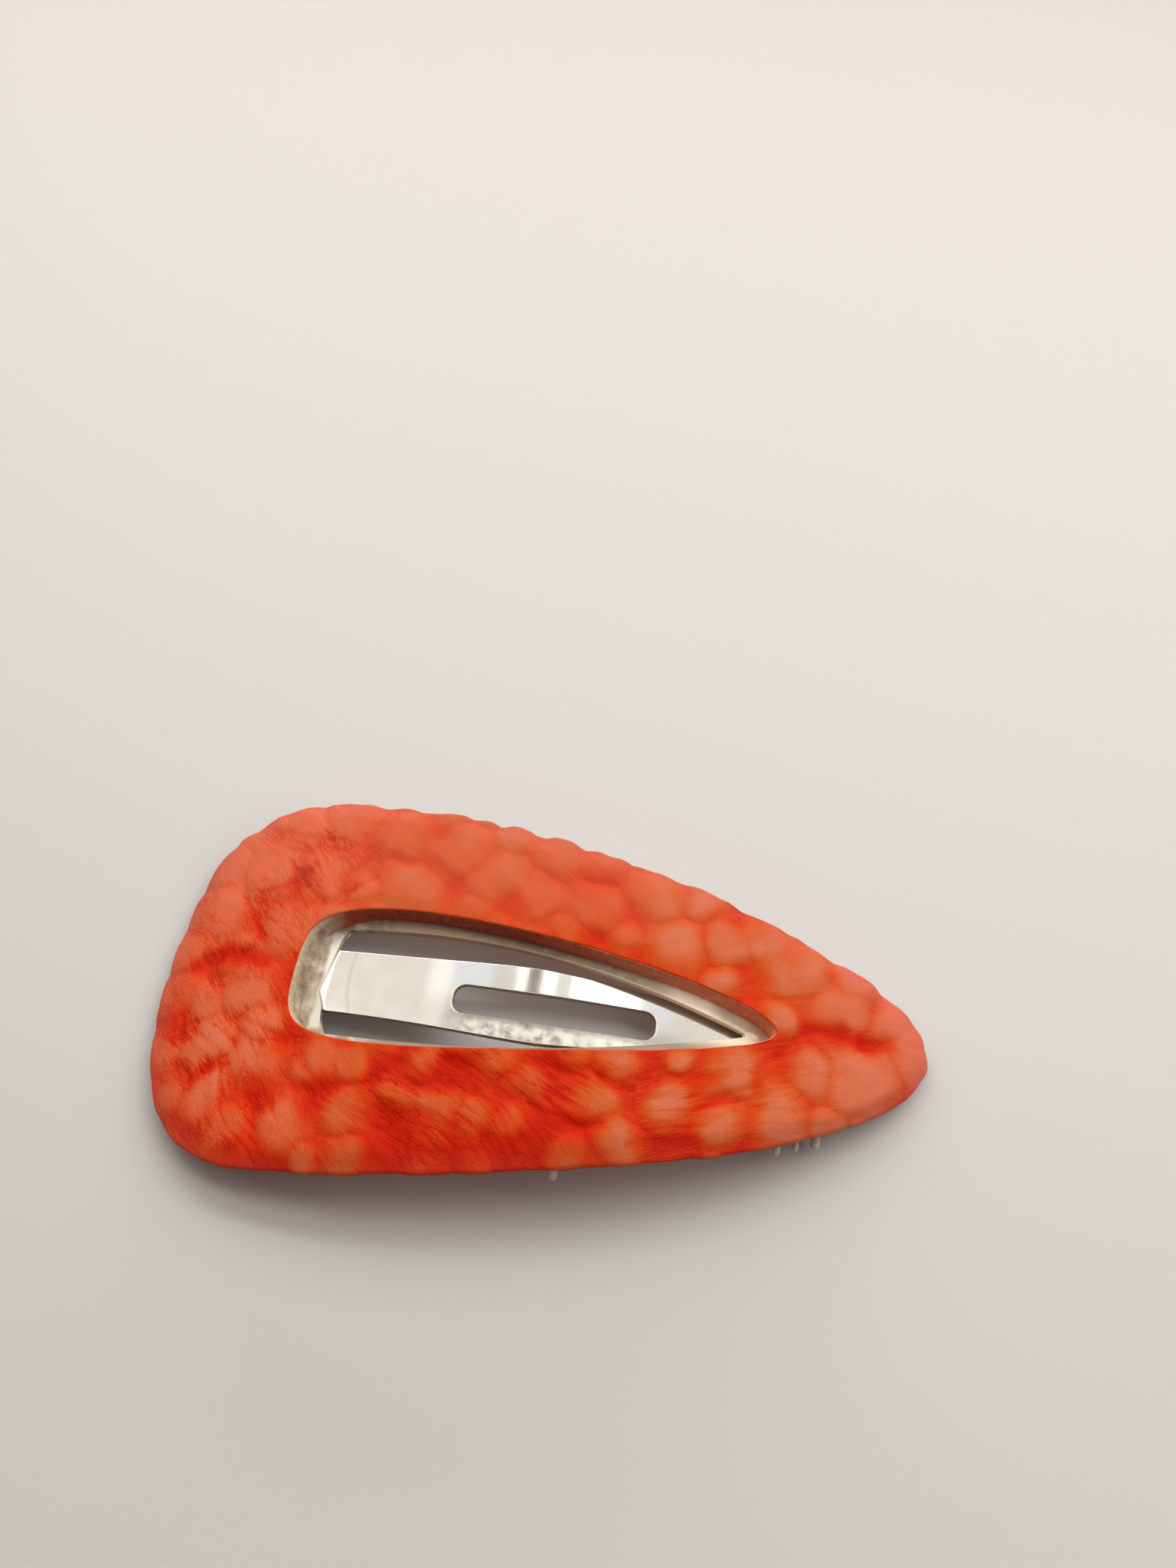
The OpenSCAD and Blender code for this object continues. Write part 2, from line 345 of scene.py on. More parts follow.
# Centre X, centre Y, radius and depth of each hollow between pebbles, in millimetres
HOLLOWS = np.array([
    (0.4, -13.6, 1.7, 0.16), (4.4, -11.1, 1.3, 0.12), (1.3, -6.3, 1.5, 0.12), (-10.0, -13.4, 1.6, 0.16),
    (-12.2, -7.9, 1.3, 0.13), (-6.7, -7.9, 1.3, 0.14), (-4.5, -14.8, 1.3, 0.12), (-16.4, -10.6, 1.4, 0.12),
    (-21.7, -11.5, 1.2, 0.12), (-26.7, -9.3, 1.0, 0.12), (-23.6, 9.2, 1.0, 0.10), (-18.3, 8.3, 1.1, 0.10),
    (3.3, 5.7, 1.2, 0.09), (6.7, 8.7, 1.0, 0.09), (3.4, 11.6, 1.1, 0.08), (-9.0, 9.4, 1.2, 0.07),
    (-3.6, 8.2, 0.9, 0.07), (-12.3, 15.0, 1.4, 0.03),
])
# Two ends, half width and depth of each narrow crease, in millimetres
CREASES = np.array([
    (-28.7, 7.6, -25.6, 2.9, 0.28, 0.06), (-24.9, 10.7, -22.6, 8.0, 0.3, 0.06),
    (-22.4, 10.4, -24.0, 8.2, 0.3, 0.06), (-24.0, 8.4, -26.6, 7.3, 0.3, 0.05),
    (-22.9, 8.3, -20.6, 6.4, 0.3, 0.05), (-16.4, 9.3, -19.0, 7.6, 0.3, 0.05),
    (-18.3, 8.0, -19.2, 6.2, 0.3, 0.05), (-27.4, 13.9, -20.2, 13.0, 0.35, 0.04),
    (14.6, -7.0, 18.4, -5.1, 0.35, 0.06), (7.4, -6.8, 13.4, -5.0, 0.35, 0.04),
    (11.0, -10.9, 17.4, -9.9, 0.35, 0.05), (-20.2, -6.4, -16.8, -9.9, 0.4, 0.06),
    (-25.4, -4.6, -20.6, -6.4, 0.35, 0.05), (20.4, -1.6, 17.6, -4.2, 0.35, 0.05),
    (-31.4, -6.4, -28.6, -5.2, 0.3, 0.04), (19.2, 3.0, 22.6, 3.9, 0.3, 0.04),
    (0.6, -6.4, 4.4, -6.8, 0.3, 0.05), (5.2, -6.5, 8.4, -7.3, 0.3, 0.06),
    (2.6, -11.3, 5.8, -10.4, 0.4, 0.06), (8.2, -11.4, 13.4, -10.1, 0.28, 0.06),
    (7.6, -9.6, 10.2, -10.6, 0.25, 0.05), (0.2, -9.8, 3.4, -10.4, 0.28, 0.05),
    (13.6, -7.9, 17.6, -6.6, 0.22, 0.04), (17.4, -9.4, 22.4, -8.9, 0.22, 0.03),
])
# Two ends, half width and depth of each stretch of the wide, soft dents, in millimetres
DENTS = np.array([
    (-30.6, 0.2, -28.4, 1.25, 0.75, 0.10), (-28.4, 1.25, -26.6, 1.05, 0.8, 0.12),
    (-26.6, 1.05, -24.4, -0.1, 0.65, 0.09), (22.9, 0.3, 25.0, 1.0, 0.75, 0.09),
    (25.0, 1.0, 27.2, 1.2, 0.8, 0.10), (27.2, 1.2, 29.8, 0.6, 0.7, 0.08),
    (-14.9, 11.3, -10.4, 10.4, 0.7, 0.05), (-20.0, -16.6, -17.2, -16.9, 0.6, 0.06),
])
# Way of the wrinkles in degrees, and the stretch of X in millimetres over which each way fades in and out
WAYS = ((-47, -60, -50, -22, -12), (-30, -22, -12, 4, 12), (22, 4, 12, 50, 60))
print(len(PEBBLES), "pebbles,", len(HOLLOWS), "hollows,", len(CREASES), "creases and", len(DENTS), "dents")

# %% [markdown]
# The charts become one relief. It is worked out for all points at once, one whole array for each
# charted line, so that no loop has to visit the points one by one.

# %% Small pebbles, and the shape of them all
# The lattice of small pebbles in millimetres: reach in X and Y, spacing, radius and greatest shift. Its
# rows lie closer than its columns, and a small pebble keeps clear of the charted ones
FILL_REACH, FILL_SPACING, FILL_RADIUS, FILL_SHIFT = (36, 19), 3.4, 1.5, 0.9
FILL_ROWS, FILL_CLEAR, FILL_SEED = 0.87, 0.8, 11
# Fall and growth of a cap, sharpness of the soft maximum, half width of the line where two caps meet
CAP_FALL, CAP_GROW, JOIN, LINE_HALF = 0.8, 1.18, 4, 0.13


def fill_pebbles():
    """A jittered lattice of small pebbles, without those that lie on a charted one."""
    rng = np.random.default_rng(FILL_SEED)
    columns = np.arange(-FILL_REACH[0], FILL_REACH[0] + 1, FILL_SPACING)
    rows = np.arange(-FILL_REACH[1], FILL_REACH[1] + 1, FILL_SPACING * FILL_ROWS)
    x, y = np.meshgrid(columns, rows, indexing="ij")
    x = x + FILL_SPACING / 2 * (np.arange(len(rows)) % 2)
    spots = np.column_stack([x.ravel(), y.ravel()]) + rng.uniform(-FILL_SHIFT, FILL_SHIFT, (x.size, 2))
    gap = np.hypot(*(spots[:, None] - PEBBLES[None, :, :2]).transpose(2, 0, 1)) - PEBBLES[:, 2]
    spots = spots[gap.min(1) > FILL_RADIUS * FILL_CLEAR]
    return np.column_stack([spots, np.full(len(spots), FILL_RADIUS)])


def cushion(x, y, pebbles):
    """Height from 0 in a hollow to 1 on a top, and a thin line from 0 to 1 where two pebbles meet.

    Each pebble is a flat cap exp(-CAP_FALL d^2.3), with d the distance in its radii. The caps are joined
    by the soft maximum (sum of cap^JOIN)^(1 / JOIN). The line is exp(-(difference of the two highest
    caps / LINE_HALF)^2)."""
    total, first, second = np.zeros_like(x), np.zeros_like(x), np.zeros_like(x)
    for px, py, radius in pebbles:
        d2 = ((x - px) ** 2 + (y - py) ** 2) / (CAP_GROW * radius) ** 2
        cap = np.exp(-CAP_FALL * d2 ** 1.15)
        total += cap ** JOIN
        second = np.maximum(second, np.minimum(first, cap))
        first = np.maximum(first, cap)
    return soft_step(total ** (1 / JOIN), 0, 1), np.exp(-((first - second) / LINE_HALF) ** 2)


ALL_PEBBLES = np.vstack([PEBBLES, fill_pebbles()])
print(len(ALL_PEBBLES), "pebbles in all")


# %% Creases and folds
def groove(x, y, chart):
    """Sum over a chart of depth * exp(-(distance / half width)^2), with the distance to each stretch."""
    depth = np.zeros_like(x)
    for x0, y0, x1, y1, half, deep in chart:
        dx, dy = x1 - x0, y1 - y0
        t = np.clip(((x - x0) * dx + (y - y0) * dy) / (dx ** 2 + dy ** 2), 0, 1)
        away = np.hypot(x - x0 - t * dx, y - y0 - t * dy)
        depth += deep * np.exp(-(away / half) ** 2)
    return depth


def along_ways(x, field):
    """Sum over the ways of weight(x) * field(cosine, sine, number): each way counts in its own stretch."""
    total = 0
    for number, (way, start, full, fade, end) in enumerate(WAYS):
        c, s = math.cos(math.radians(way)), math.sin(math.radians(way))
        total = total + soft_step(x, start, full) * (1 - soft_step(x, fade, end)) * field(c, s, number)
    return total


def streaks(x, y, wide, long, seed):
    """Noise from -0.5 to 0.5 that is narrow across the wrinkles' way and long along it."""
    def field(c, s, k):
        """noise(across / wide, along / long) - 0.5, in axes that are turned to the way."""
        return noise((c * y - s * x) / wide, (c * x + s * y) / long, seed + k) - 0.5

    return along_ways(x, field)


# %% [markdown]
# Two results come out of the grain: a height, which moves the mesh, and a tone, which the finish later
# turns into colour. They share their parts, so that the dark red always lies in the real hollows. The tone
# also holds painted light: painted sheen makes it lighter to the rear, at the ends and on the tops, and
# painted shade makes it darker in the hollows, creases, dents, folds and lines.

# %% The whole grain
# Millimetres that each part lifts or cuts: cushions, slow rolls, fine folds, and lines between cushions.
# A hollow cuts only this share of its charted depth, because the valleys round it are low already
DOME_HIGH, ROLL_HIGH, FOLD_DEEP, LINE_DEEP = 0.31, 0.14, 0.05, 0.03
HOLLOW_SHARE = 0.8
# Millimetres by which a slow noise shifts the pebbles, by which a wider one shifts the streaks, and by
# which the streaks shift the pebbles
SLOW_SHIFT, WIDE_SHIFT, COMB_SHIFT = 1.4, 2.2, 0.55
# Tone that a millimetre of hollow, crease or dent takes away, and that a fold or a line takes away: painted
# shade in the low places of the grain
HOLLOW_SHADE, CREASE_SHADE, DENT_SHADE, FOLD_SHADE, LINE_SHADE = 3.2, 3.2, 3.4, 0.34, 0.07


def patches(x, y, pitch, seed, high=0.7, least=0.3):
    """Soft patches from least to 1: a noise of that pitch, spread by a soft step from 0.3 to high."""
    return least + (1 - least) * soft_step(noise(x / pitch, y / pitch, seed), 0.3, high)


def grain(x, y):
    """The leather's relief in millimetres over its mean face, and its tone, 0 in a hollow and 1 on a top.

    The place at which the pebbles are read is shifted twice: by a slow noise, which makes them uneven, and
    along the wrinkles' way by a streaky noise, which combs their edges into folds. In each noise, x and y
    are divided by its pitch in millimetres. A soft step's last two numbers say where it starts and ends."""
    wide_end, front, tip = soft_step(-x, 12, 24), soft_step(-y, 0, 6), soft_step(x, 16, 26)
    folded = 0.25 + np.maximum(0.8 * wide_end, 0.75 * front) * (1 - 0.5 * tip)
    folded = folded * patches(x, y, 4.1, 8, least=0.35)
    slow_x, slow_y = (noise(x / 2.3, y / 2.3, seed) - 0.5 for seed in (1, 2))
    bent_x, bent_y = (v + WIDE_SHIFT * (noise(x / 4.6, y / 4.6, seed) - 0.5)
                      for v, seed in ((x, 21), (y, 22)))
    comb = streaks(bent_x, bent_y, 0.42, 2.4, 100) * folded
    at_x = x + SLOW_SHIFT * slow_x + COMB_SHIFT * comb * along_ways(x, lambda c, s, k: c)
    at_y = y + SLOW_SHIFT * slow_y + COMB_SHIFT * comb * along_ways(x, lambda c, s, k: s)

    dome, line = cushion(at_x, at_y, ALL_PEBBLES)
    line = line * patches(x, y, 3.1, 23)
    hollow = sum(d * np.exp(-(np.hypot(at_x - a, at_y - b) / r) ** 2) for a, b, r, d in HOLLOWS)
    crease = groove(x + 0.4 * slow_y, y + 0.4 * slow_x, CREASES)
    dent = groove(at_x, at_y, DENTS)
    roll = noise(x / 6.5, y / 6.5, 3) - 0.5

    # Fine folds are where one of two streaky noises is low. They are fainter on the tops of the cushions
    fine = np.maximum(soft_step(-streaks(bent_x, bent_y, 0.24, 2.2, 200), 0.18, 0.36),
                      soft_step(-streaks(bent_x, bent_y, 0.42, 4.2, 300), 0.2, 0.4))
    fine = fine * patches(x, y, 3.3, 6, high=0.65, least=0.25) * (1 - 0.5 * dome)
    fine = fine * np.clip(0.12 + wide_end + 0.7 * front * (1 - tip), 0, 1)

    height = DOME_HIGH * (1 - 0.25 * wide_end) * (dome - 0.6) + ROLL_HIGH * roll
    height = height - HOLLOW_SHARE * hollow - crease - dent - FOLD_DEEP * fine - LINE_DEEP * line

    # Painted light and sheen: the tone grows to the rear, towards the tip and at the wide end, and its
    # range grows in the front. The tops are lighter, partly as painted sheen
    tone = 0.56 + 0.007 * y + (0.05 + 0.17 * front) * soft_step(x, 4, 20) + 0.08 * wide_end + 0.03 * tip
    gain = (0.3 + 0.26 * np.maximum(0.6 * front, soft_step(x, 4, 12))) * (1 - 0.2 * wide_end)
    tone = tone + gain * (dome ** (1 + 0.6 * front) - 0.55) + 0.25 * roll
    tone = tone + 0.2 * (noise(x / 3.7, y / 3.7, 4) - 0.5) + 0.17 * comb
    # Lines between cushions, hollows, creases, dents and fine folds darken the tone as painted shade
    tone = tone + (0.1 + 0.12 * front) * streaks(bent_x, bent_y, 0.9, 2.4, 400) - LINE_SHADE * line
    tone = tone - HOLLOW_SHADE * hollow - CREASE_SHADE * crease - DENT_SHADE * dent - FOLD_SHADE * fine
    return height, np.clip(tone, 0, 1)


# %% [markdown]
# ## The leather cover
#
# The cover is a die-cut ring of leather 2 mm thick. The edge of its window is rounded a little. Its outer
# edge is pressed round, so that the grain rolls over it nearly down to the table. A flat ring with a
# bevel and a subdivision could do that too, but the rows of the ring surface give each edge its own
# ellipse and put the points where the grain needs them.

# %% Flat ring of the cover
RIM_IN = (0.2 * MM, 0.3 * MM, 6)
RIM_OUT = (0.5 * MM, 0.55 * MM, 9)
COVER_STEPS = (310, 115)
cover_cut = section(RIM_IN, RIM_OUT, cover_thick, across=78, under=6)
cover_half = teardrop(cover_x0, cover_length, cover_width, cover_widest_at, COVER_FORM)
window_half = teardrop(window_x0, window_length, window_width, window_widest_at, WINDOW_FORM)
cover_outer = closed_loop(*cover_half, COVER_STEPS)
cover_inner = closed_loop(*window_half, COVER_STEPS)
cover_flat = ring_grid(cover_inner, cover_outer, cover_cut, RIM_IN[0], RIM_OUT[0])
print("flat cover:", cover_flat.shape[0], "points round the ring,", cover_flat.shape[1], "round its cut")

# %% [markdown]
# The grain moves each point along the flat sheet's normal. It fades out down the walls, is weaker beside
# the window and at the front rim, and stronger at the rear rim. There, small pebbles end in the edge and
# scallop it, which a second, finer noise gives.

# %% Grain on the cover
# Height in millimetres and pitch of the scallops, and the share of the height above which the rim starts
SCALLOP, SCALLOP_PITCH, WALL_TOP = 0.2, 1.25, 0.93
# Distance along the flat leather, from the arch's angle
cover_s = arch_r * np.arcsin(cover_flat[..., 0] / arch_r) / MM
cover_y = cover_flat[..., 1] / MM
height = cover_flat[..., 2] / cover_thick
to_window = np.hypot(*(cover_flat[..., :2] - cover_inner[:, None]).transpose(2, 0, 1)) / MM
to_edge = np.hypot(*(cover_flat[..., :2] - cover_outer[:, None]).transpose(2, 0, 1)) / MM
out = outward(cover_outer)
on_inner = (cover_cut[:, 3] == 0)[None, :]
on_window_wall = on_inner & (height < WALL_TOP)

relief, tone = grain(cover_s, cover_y)
rear_edge = (1 - soft_step(to_edge, 0.5, 2.0)) * soft_step(out[:, 1], -0.1, 0.5)[:, None]
relief = relief + SCALLOP * (noise(cover_s / SCALLOP_PITCH, cover_y / SCALLOP_PITCH, 31) - 0.5) * rear_edge
# The share is 1 on the grain side, 0 on the window's wall, and less than half beside it
share_of_relief = soft_step(height, 0.05, 0.4) * np.where(on_window_wall, 0, 1)
share_of_relief = share_of_relief * (0.45 + 0.55 * soft_step(to_window, 0.2, 1.8))
# At the outer edge it is 0.7 in front and 1.4 at the rear
at_rim = 0.7 + 0.7 * soft_step(out[:, 1], -0.35, 0.35)[:, None]
share_of_relief = share_of_relief * (at_rim + (1 - at_rim) * soft_step(to_edge, 0.4, 2.4))
cover_flat = cover_flat + grid_normals(cover_flat) * (relief * MM * share_of_relief)[..., None]
print("relief from", round(float(relief.min()), 2), "to", round(float(relief.max()), 2), "mm")

# %% [markdown]
# Soft leather doesn't keep upright walls. Towards the outer edge the grain side sinks and spreads, and
# the foot of the wall draws in. In the window the foot was pressed down on the steel, and at the wide end
# dried glue fills the corner. A simulation could find such shapes, but shifts that fade with the distance
# from the edge are quick, and the same in every run.

# %% Leaning edges of the cover
# Millimetres that the top leans out and the foot draws in, over what width, and how far the edge sinks
LEAN_OUT, LEAN_IN, LEAN_WIDTH, EDGE_DROP = 0.5, 0.3, 2.6, 0.5
# The sides lean by all of it, and the ends by 0.6 of it. The rear corner of the wide end and the rear of
# the nose spread more: angle, half width, millimetres. The front of the tip spreads less
CORNERS = ((math.radians(150), math.radians(38), 0.6), (math.radians(42), math.radians(28), 0.7))
lean = 1 - soft_step(to_edge, 0, LEAN_WIDTH)
facing = np.arctan2(out[:, 1], out[:, 0])
corner = sum(more * np.exp(-((np.mod(facing - at + np.pi, 2 * np.pi) - np.pi) / half) ** 2)
             for at, half, more in CORNERS)
front_tip = soft_step(cover_outer[:, 0] / MM, 16, 27) * soft_step(-out[:, 1], 0, 0.4)
out_push = LEAN_OUT * (0.6 + 0.4 * out[:, 1] ** 2) * (1 - 1.2 * front_tip) + corner
push = out_push[:, None] * height - LEAN_IN * (1 - height)
cover_flat[..., :2] += out[:, None] * (push * lean * MM)[..., None]
cover_flat[..., 2] -= EDGE_DROP * MM * lean ** 2 * height

# Millimetres that the window's foot was pressed down, and that the glue stands out from it
WALL_PRESS, FILLET = 0.085, 0.3
foot = (1 - soft_step(height, 0, 0.2)) * (1 - soft_step(to_window, 0, 0.8))
cover_flat[..., 2] -= WALL_PRESS * MM * foot
fillet = FILLET * np.maximum(1 - height, 0) ** 3 * soft_step(-cover_flat[..., 0] / MM, 16, 19) * on_inner
cover_flat[..., :2] -= outward(cover_inner)[:, None] * (fillet * MM)[..., None]
print("the edge leans out by up to", round(float(out_push.max()), 2), "mm")

# %% [markdown]
# Last, the sheet is bent over the arch, and the underside is held at the table's height, where the soft
# leather lies on it. Four numbers go with each point, for the finish to read. Tone is the grain's. Cut is
# 1 where the leather was cut or lies on its flesh side, and 0 on the grain. Wall goes from 0 at the top
# of a wall to 1 at its foot, but only to 0.9 in the window. Rim is 1 at the outer edge.

# %% Bend the cover
cover_grid = bend(cover_flat, arch_r, (0, arch_z), 0)
cover_grid[..., 2] = np.maximum(cover_grid[..., 2], 0)
cut = np.where(on_window_wall, 1, 1 - soft_step(height, 0.02, 0.12))
rim = 1 - soft_step(to_edge, 0.2, 2.2)
wall = np.where(on_inner, np.minimum(1 - height, 0.9), 1 - height)
cover = mesh_from_grid("leather_ring", cover_grid, {"tone": tone, "cut": cut, "wall": wall, "rim": rim})

# %% [markdown]
# ## The steel frame and the tongue
#
# The clip is one stamped sheet of spring steel: a teardrop frame, and in its opening a tongue that grows
# from the wide end and runs to the tip. Both are rings again, the tongue's hole being its long slot. A
# boolean cut could make them, but the polished tongue would show every uneven face beside the cut. Most
# edges get a tiny rounding, because a real edge always catches some light, and the press rolled the
# opening's edge rounder.

# %% Outlines of the steel
def opening_half():
    """Half the opening: flank from its nose to the corner, then the square end."""
    w, x0, x1 = opening_width / 2, opening_x0, opening_x0 + opening_length
    near_x, far_x = (x0 + opening_length * share for share in OPENING_FORM)
    flank = cubic([x1, opening_nose], [far_x, w + opening_bow], [near_x, w + opening_bow],
                  [x0 + 2 * opening_corner, w])
    turn = quarter((x0 + opening_corner, w - opening_corner), opening_corner, 180)[::-1]
    return np.vstack([[(x1, 0)], flank, turn]), np.array([turn[-1], (x0, 0)])


def tongue_half(x0):
    """Half the tongue: from its leaf-shaped tip past the belly to the root's corner, then the root."""
    root, belly = tongue_root_width / 2, tongue_belly_width / 2
    f, x1, xb = TONGUE_FORM, tongue_x0 + tongue_length, tongue_x0 + tongue_belly_at
    rest = tongue_length - tongue_belly_at
    tip = cubic([x1, 0], [x1, belly * f[4]], [xb + rest * f[2], belly * f[3]], [xb, belly])
    side = cubic([xb, belly], [xb - tongue_belly_at * f[1], belly],
                 [x0 + tongue_belly_at * f[0], root], [x0, root])
    return np.vstack([tip, side]), np.array([(x0, root), (x0 - root_point, 0)])


def slot_half():
    """Half the slot: a bar with rounded corners."""
    w, r, x0, x1 = slot_width / 2, slot_corner, slot_x0, slot_x0 + slot_length
    far = quarter((x1 - r, w - r), r, 90)[::-1]
    near = quarter((x0 + r, w - r), r, 180)[::-1]
    return np.vstack([[(x1, 0)], far, near]), np.array([near[-1], (x0, 0)])


print("opening", round(opening_length / MM, 1), "x", round(opening_width / MM, 1), "mm, slot",
      round(slot_length / MM, 1), "x", round(slot_width / MM, 1), "mm")

# %% [markdown]
# The frame follows the leather's arch, a thin layer of glue under it. Its blank is bent as the leather's
# was, so both keep the same distance everywhere.

# %% Build the frame
def cut_edge(cut):
    """1 on the rims and walls of a sheet's cut, 0 on its two faces. A row on a face has no inset of its
    own, apart from a support row, which counts as an edge."""
    return 1.0 - (np.isnan(cut[:, 0]) & np.isnan(cut[:, 1]))[None, :]


STEEL_RIM = (0.07 * MM, 0.07 * MM, 3)
OPENING_RIM = (0.17 * MM, 0.4 * MM, 6)
STEEL_STEPS = (200, 60)
steel_cut = section(OPENING_RIM, STEEL_RIM, sheet_thick, across=22, under=8)
steel_half = teardrop(steel_x0, steel_length, steel_width, steel_widest_at, STEEL_FORM)
steel_outer = closed_loop(*steel_half, STEEL_STEPS)
steel_inner = closed_loop(*opening_half(), STEEL_STEPS)
steel_flat = ring_grid(steel_inner, steel_outer, steel_cut, OPENING_RIM[0], STEEL_RIM[0])
# A small boss was pressed up beside the tip
BOSS_AT, BOSS_RADIUS, BOSS_HEIGHT = (18.3 * MM, 0.1 * MM), 0.45 * MM, 0.22 * MM
to_boss = np.hypot(steel_flat[..., 0] - BOSS_AT[0], steel_flat[..., 1] - BOSS_AT[1])
steel_flat[..., 2] += BOSS_HEIGHT * np.exp(-(to_boss / BOSS_RADIUS) ** 2)
steel_low_r = arch_r - glue_gap - sheet_thick
steel_grid = bend(steel_flat, steel_low_r, (0, arch_z), 0)
# Two numbers for the finish: edge is 1 on the cut edges, and under is 1 on the underside
steel_values = {"edge": cut_edge(steel_cut), "under": steel_cut[:, 2] == 0}
steel = mesh_from_grid("steel_frame", steel_grid, steel_values)

# %% [markdown]
# The tongue bows up over the straight line from its root to its tip, which lies under the frame's tip.
# The places of these two ends and the rise of the bow give the cylinder on which it lies. A Bend modifier
# could curl it as well, but then the root and the tip would have to be found by trying.

# %% Build the tongue
def arc_through(x0, z0, x1, z1, rise):
    """Radius and centre of the circle through two points that rises over their chord by rise:
    radius = (chord^2 / 4 + rise^2) / (2 rise)."""
    chord = np.array([x1 - x0, z1 - z0])
    length = np.hypot(*chord)
    radius = (length ** 2 / 4 + rise ** 2) / (2 * rise)
    normal = np.array([-chord[1], chord[0]]) / length
    return radius, np.array([x0, z0]) + chord / 2 - normal * (radius - rise)


def arch_height(radius, x):
    """Height of a cylinder of the arch: centre height + sqrt(radius^2 - x^2)."""
    return arch_z + math.sqrt(radius ** 2 - x ** 2)


TONGUE_RIM = (0.04 * MM, 0.04 * MM, 2)
TONGUE_STEPS = (190, 30)
tongue_x1 = tongue_x0 + tongue_length
root_z = arch_height(arch_r - glue_gap, tongue_x0)
tip_z = arch_height(steel_low_r, tongue_x1) - tip_gap
tongue_r, tongue_centre = arc_through(tongue_x0, root_z, tongue_x1, tip_z, tongue_rise)
tongue_cut = section(TONGUE_RIM, STEEL_RIM, sheet_thick, across=44, under=12, support=0.02 * MM)
tongue_outer = closed_loop(*tongue_half(opening_x0), TONGUE_STEPS)
tongue_inner = closed_loop(*slot_half(), TONGUE_STEPS) + (0, slot_offset)
tongue_flat = ring_grid(tongue_inner, tongue_outer, tongue_cut, TONGUE_RIM[0], STEEL_RIM[0])
over_heel = np.maximum(opening_x0 - tongue_flat[..., 0], 0)
tongue_flat[..., 1] += root_point_y * over_heel / root_point
tongue_flat[..., 2] -= heel_slope * over_heel
tongue_grid = bend(tongue_flat, tongue_r - sheet_thick, tongue_centre, 0)
tongue = mesh_from_grid("steel_tongue", tongue_grid, {"edge": cut_edge(tongue_cut)})
print("tongue lies on a radius of", round(tongue_r / MM, 1), "mm")

# %% [markdown]
# ## Beads of glue
#
# Hot glue holds the leather on the steel, and a few drops of it hang under the front edge. Metaballs
# could flow together into such drops, but a ball drawn out of shape is lighter and exact. Each is a
# sphere in two parameters. Its lower half is drawn out straight down, and its upper half is drawn up and
# back into the leather, so that the drop hangs on it. They are trim, so all drops are one piece.

# %% Glue beads
# Centre X, Y, Z, radius, length below the centre, and reach of the neck back and up, in millimetres
DROPS = np.array([(2.8, -14.1, 3.4, 0.4, 0.55, 0.45, 1.5), (20.7, -9.2, 2.05, 0.36, 0.4, 0.4, 0.95),
                  (24.0, -7.95, 1.35, 0.4, 0.35, 0.45, 1.0), (22.3, -8.7, 1.8, 0.26, 0.25, 0.4, 0.9)])
DROP_ROUND, DROP_DOWN = 24, 14


def drops(table):
    """Drops (r cos a cos b, r sin a cos b + back * rise, down or up * sin b), with rise = sin b above the
    centre and 0 below it."""
    turn = np.linspace(0, 2 * np.pi, DROP_ROUND, endpoint=False)
    rise = np.linspace(-np.pi / 2, np.pi / 2, DROP_DOWN + 2)[1:-1]
    a, b = np.meshgrid(turn, rise, indexing="ij")
    ball = np.stack([np.cos(a) * np.cos(b), np.sin(a) * np.cos(b), np.sin(b)], -1).reshape(-1, 3)
    ball = np.vstack([ball, [(0, 0, -1), (0, 0, 1)]])
    radius, down, back, up = table[:, 3:, None].transpose(1, 0, 2)
    points = np.stack([radius * ball[:, 0], radius * ball[:, 1] + back * np.maximum(ball[:, 2], 0),
                       np.where(ball[:, 2] < 0, down, up) * ball[:, 2]], -1) + table[:, None, :3]
    # Quads between neighbouring columns, and a fan of triangles to the foot and to the top
    i, j = np.meshgrid(np.arange(DROP_ROUND), np.arange(DROP_DOWN - 1), indexing="ij")
    i2 = (i + 1) % DROP_ROUND
    quads = np.stack([i * DROP_DOWN + j, i2 * DROP_DOWN + j,
                      i2 * DROP_DOWN + j + 1, i * DROP_DOWN + j + 1], -1)
    n = DROP_ROUND * DROP_DOWN
    k = np.arange(DROP_ROUND)
    k2 = (k + 1) % DROP_ROUND
    foot = np.column_stack([k2 * DROP_DOWN, k * DROP_DOWN, np.full(DROP_ROUND, n)])
    last = DROP_DOWN - 1
    top = np.column_stack([k * DROP_DOWN + last, k2 * DROP_DOWN + last, np.full(DROP_ROUND, n + 1)])
    faces = []
    for shift in range(0, len(table) * len(ball), len(ball)):
        faces += (quads.reshape(-1, 4) + shift).tolist() + (foot + shift).tolist() + (top + shift).tolist()
    return points.reshape(-1, 3) * MM, faces


drop_mesh = bpy.data.meshes.new("glue_beads")
drop_points, drop_faces = drops(DROPS)
drop_mesh.from_pydata(drop_points.tolist(), [], drop_faces)
drop_mesh.shade_smooth()
beads = bpy.data.objects.new("glue_beads", drop_mesh)
bpy.context.scene.collection.objects.link(beads)
print("glue beads have", len(drop_faces), "faces")

# %% [markdown]
# ## Finishes
#
# Every finish is a small network of nodes round one Principled shader. Such a network could be drawn in
# the node editor, but in code each of its numbers can be seen and changed. Patterns read Object
# coordinates, which are metres here, so a Mapping node scales them to millimetres first. Numbers that
# are the same all over go straight on the shader's own sockets.

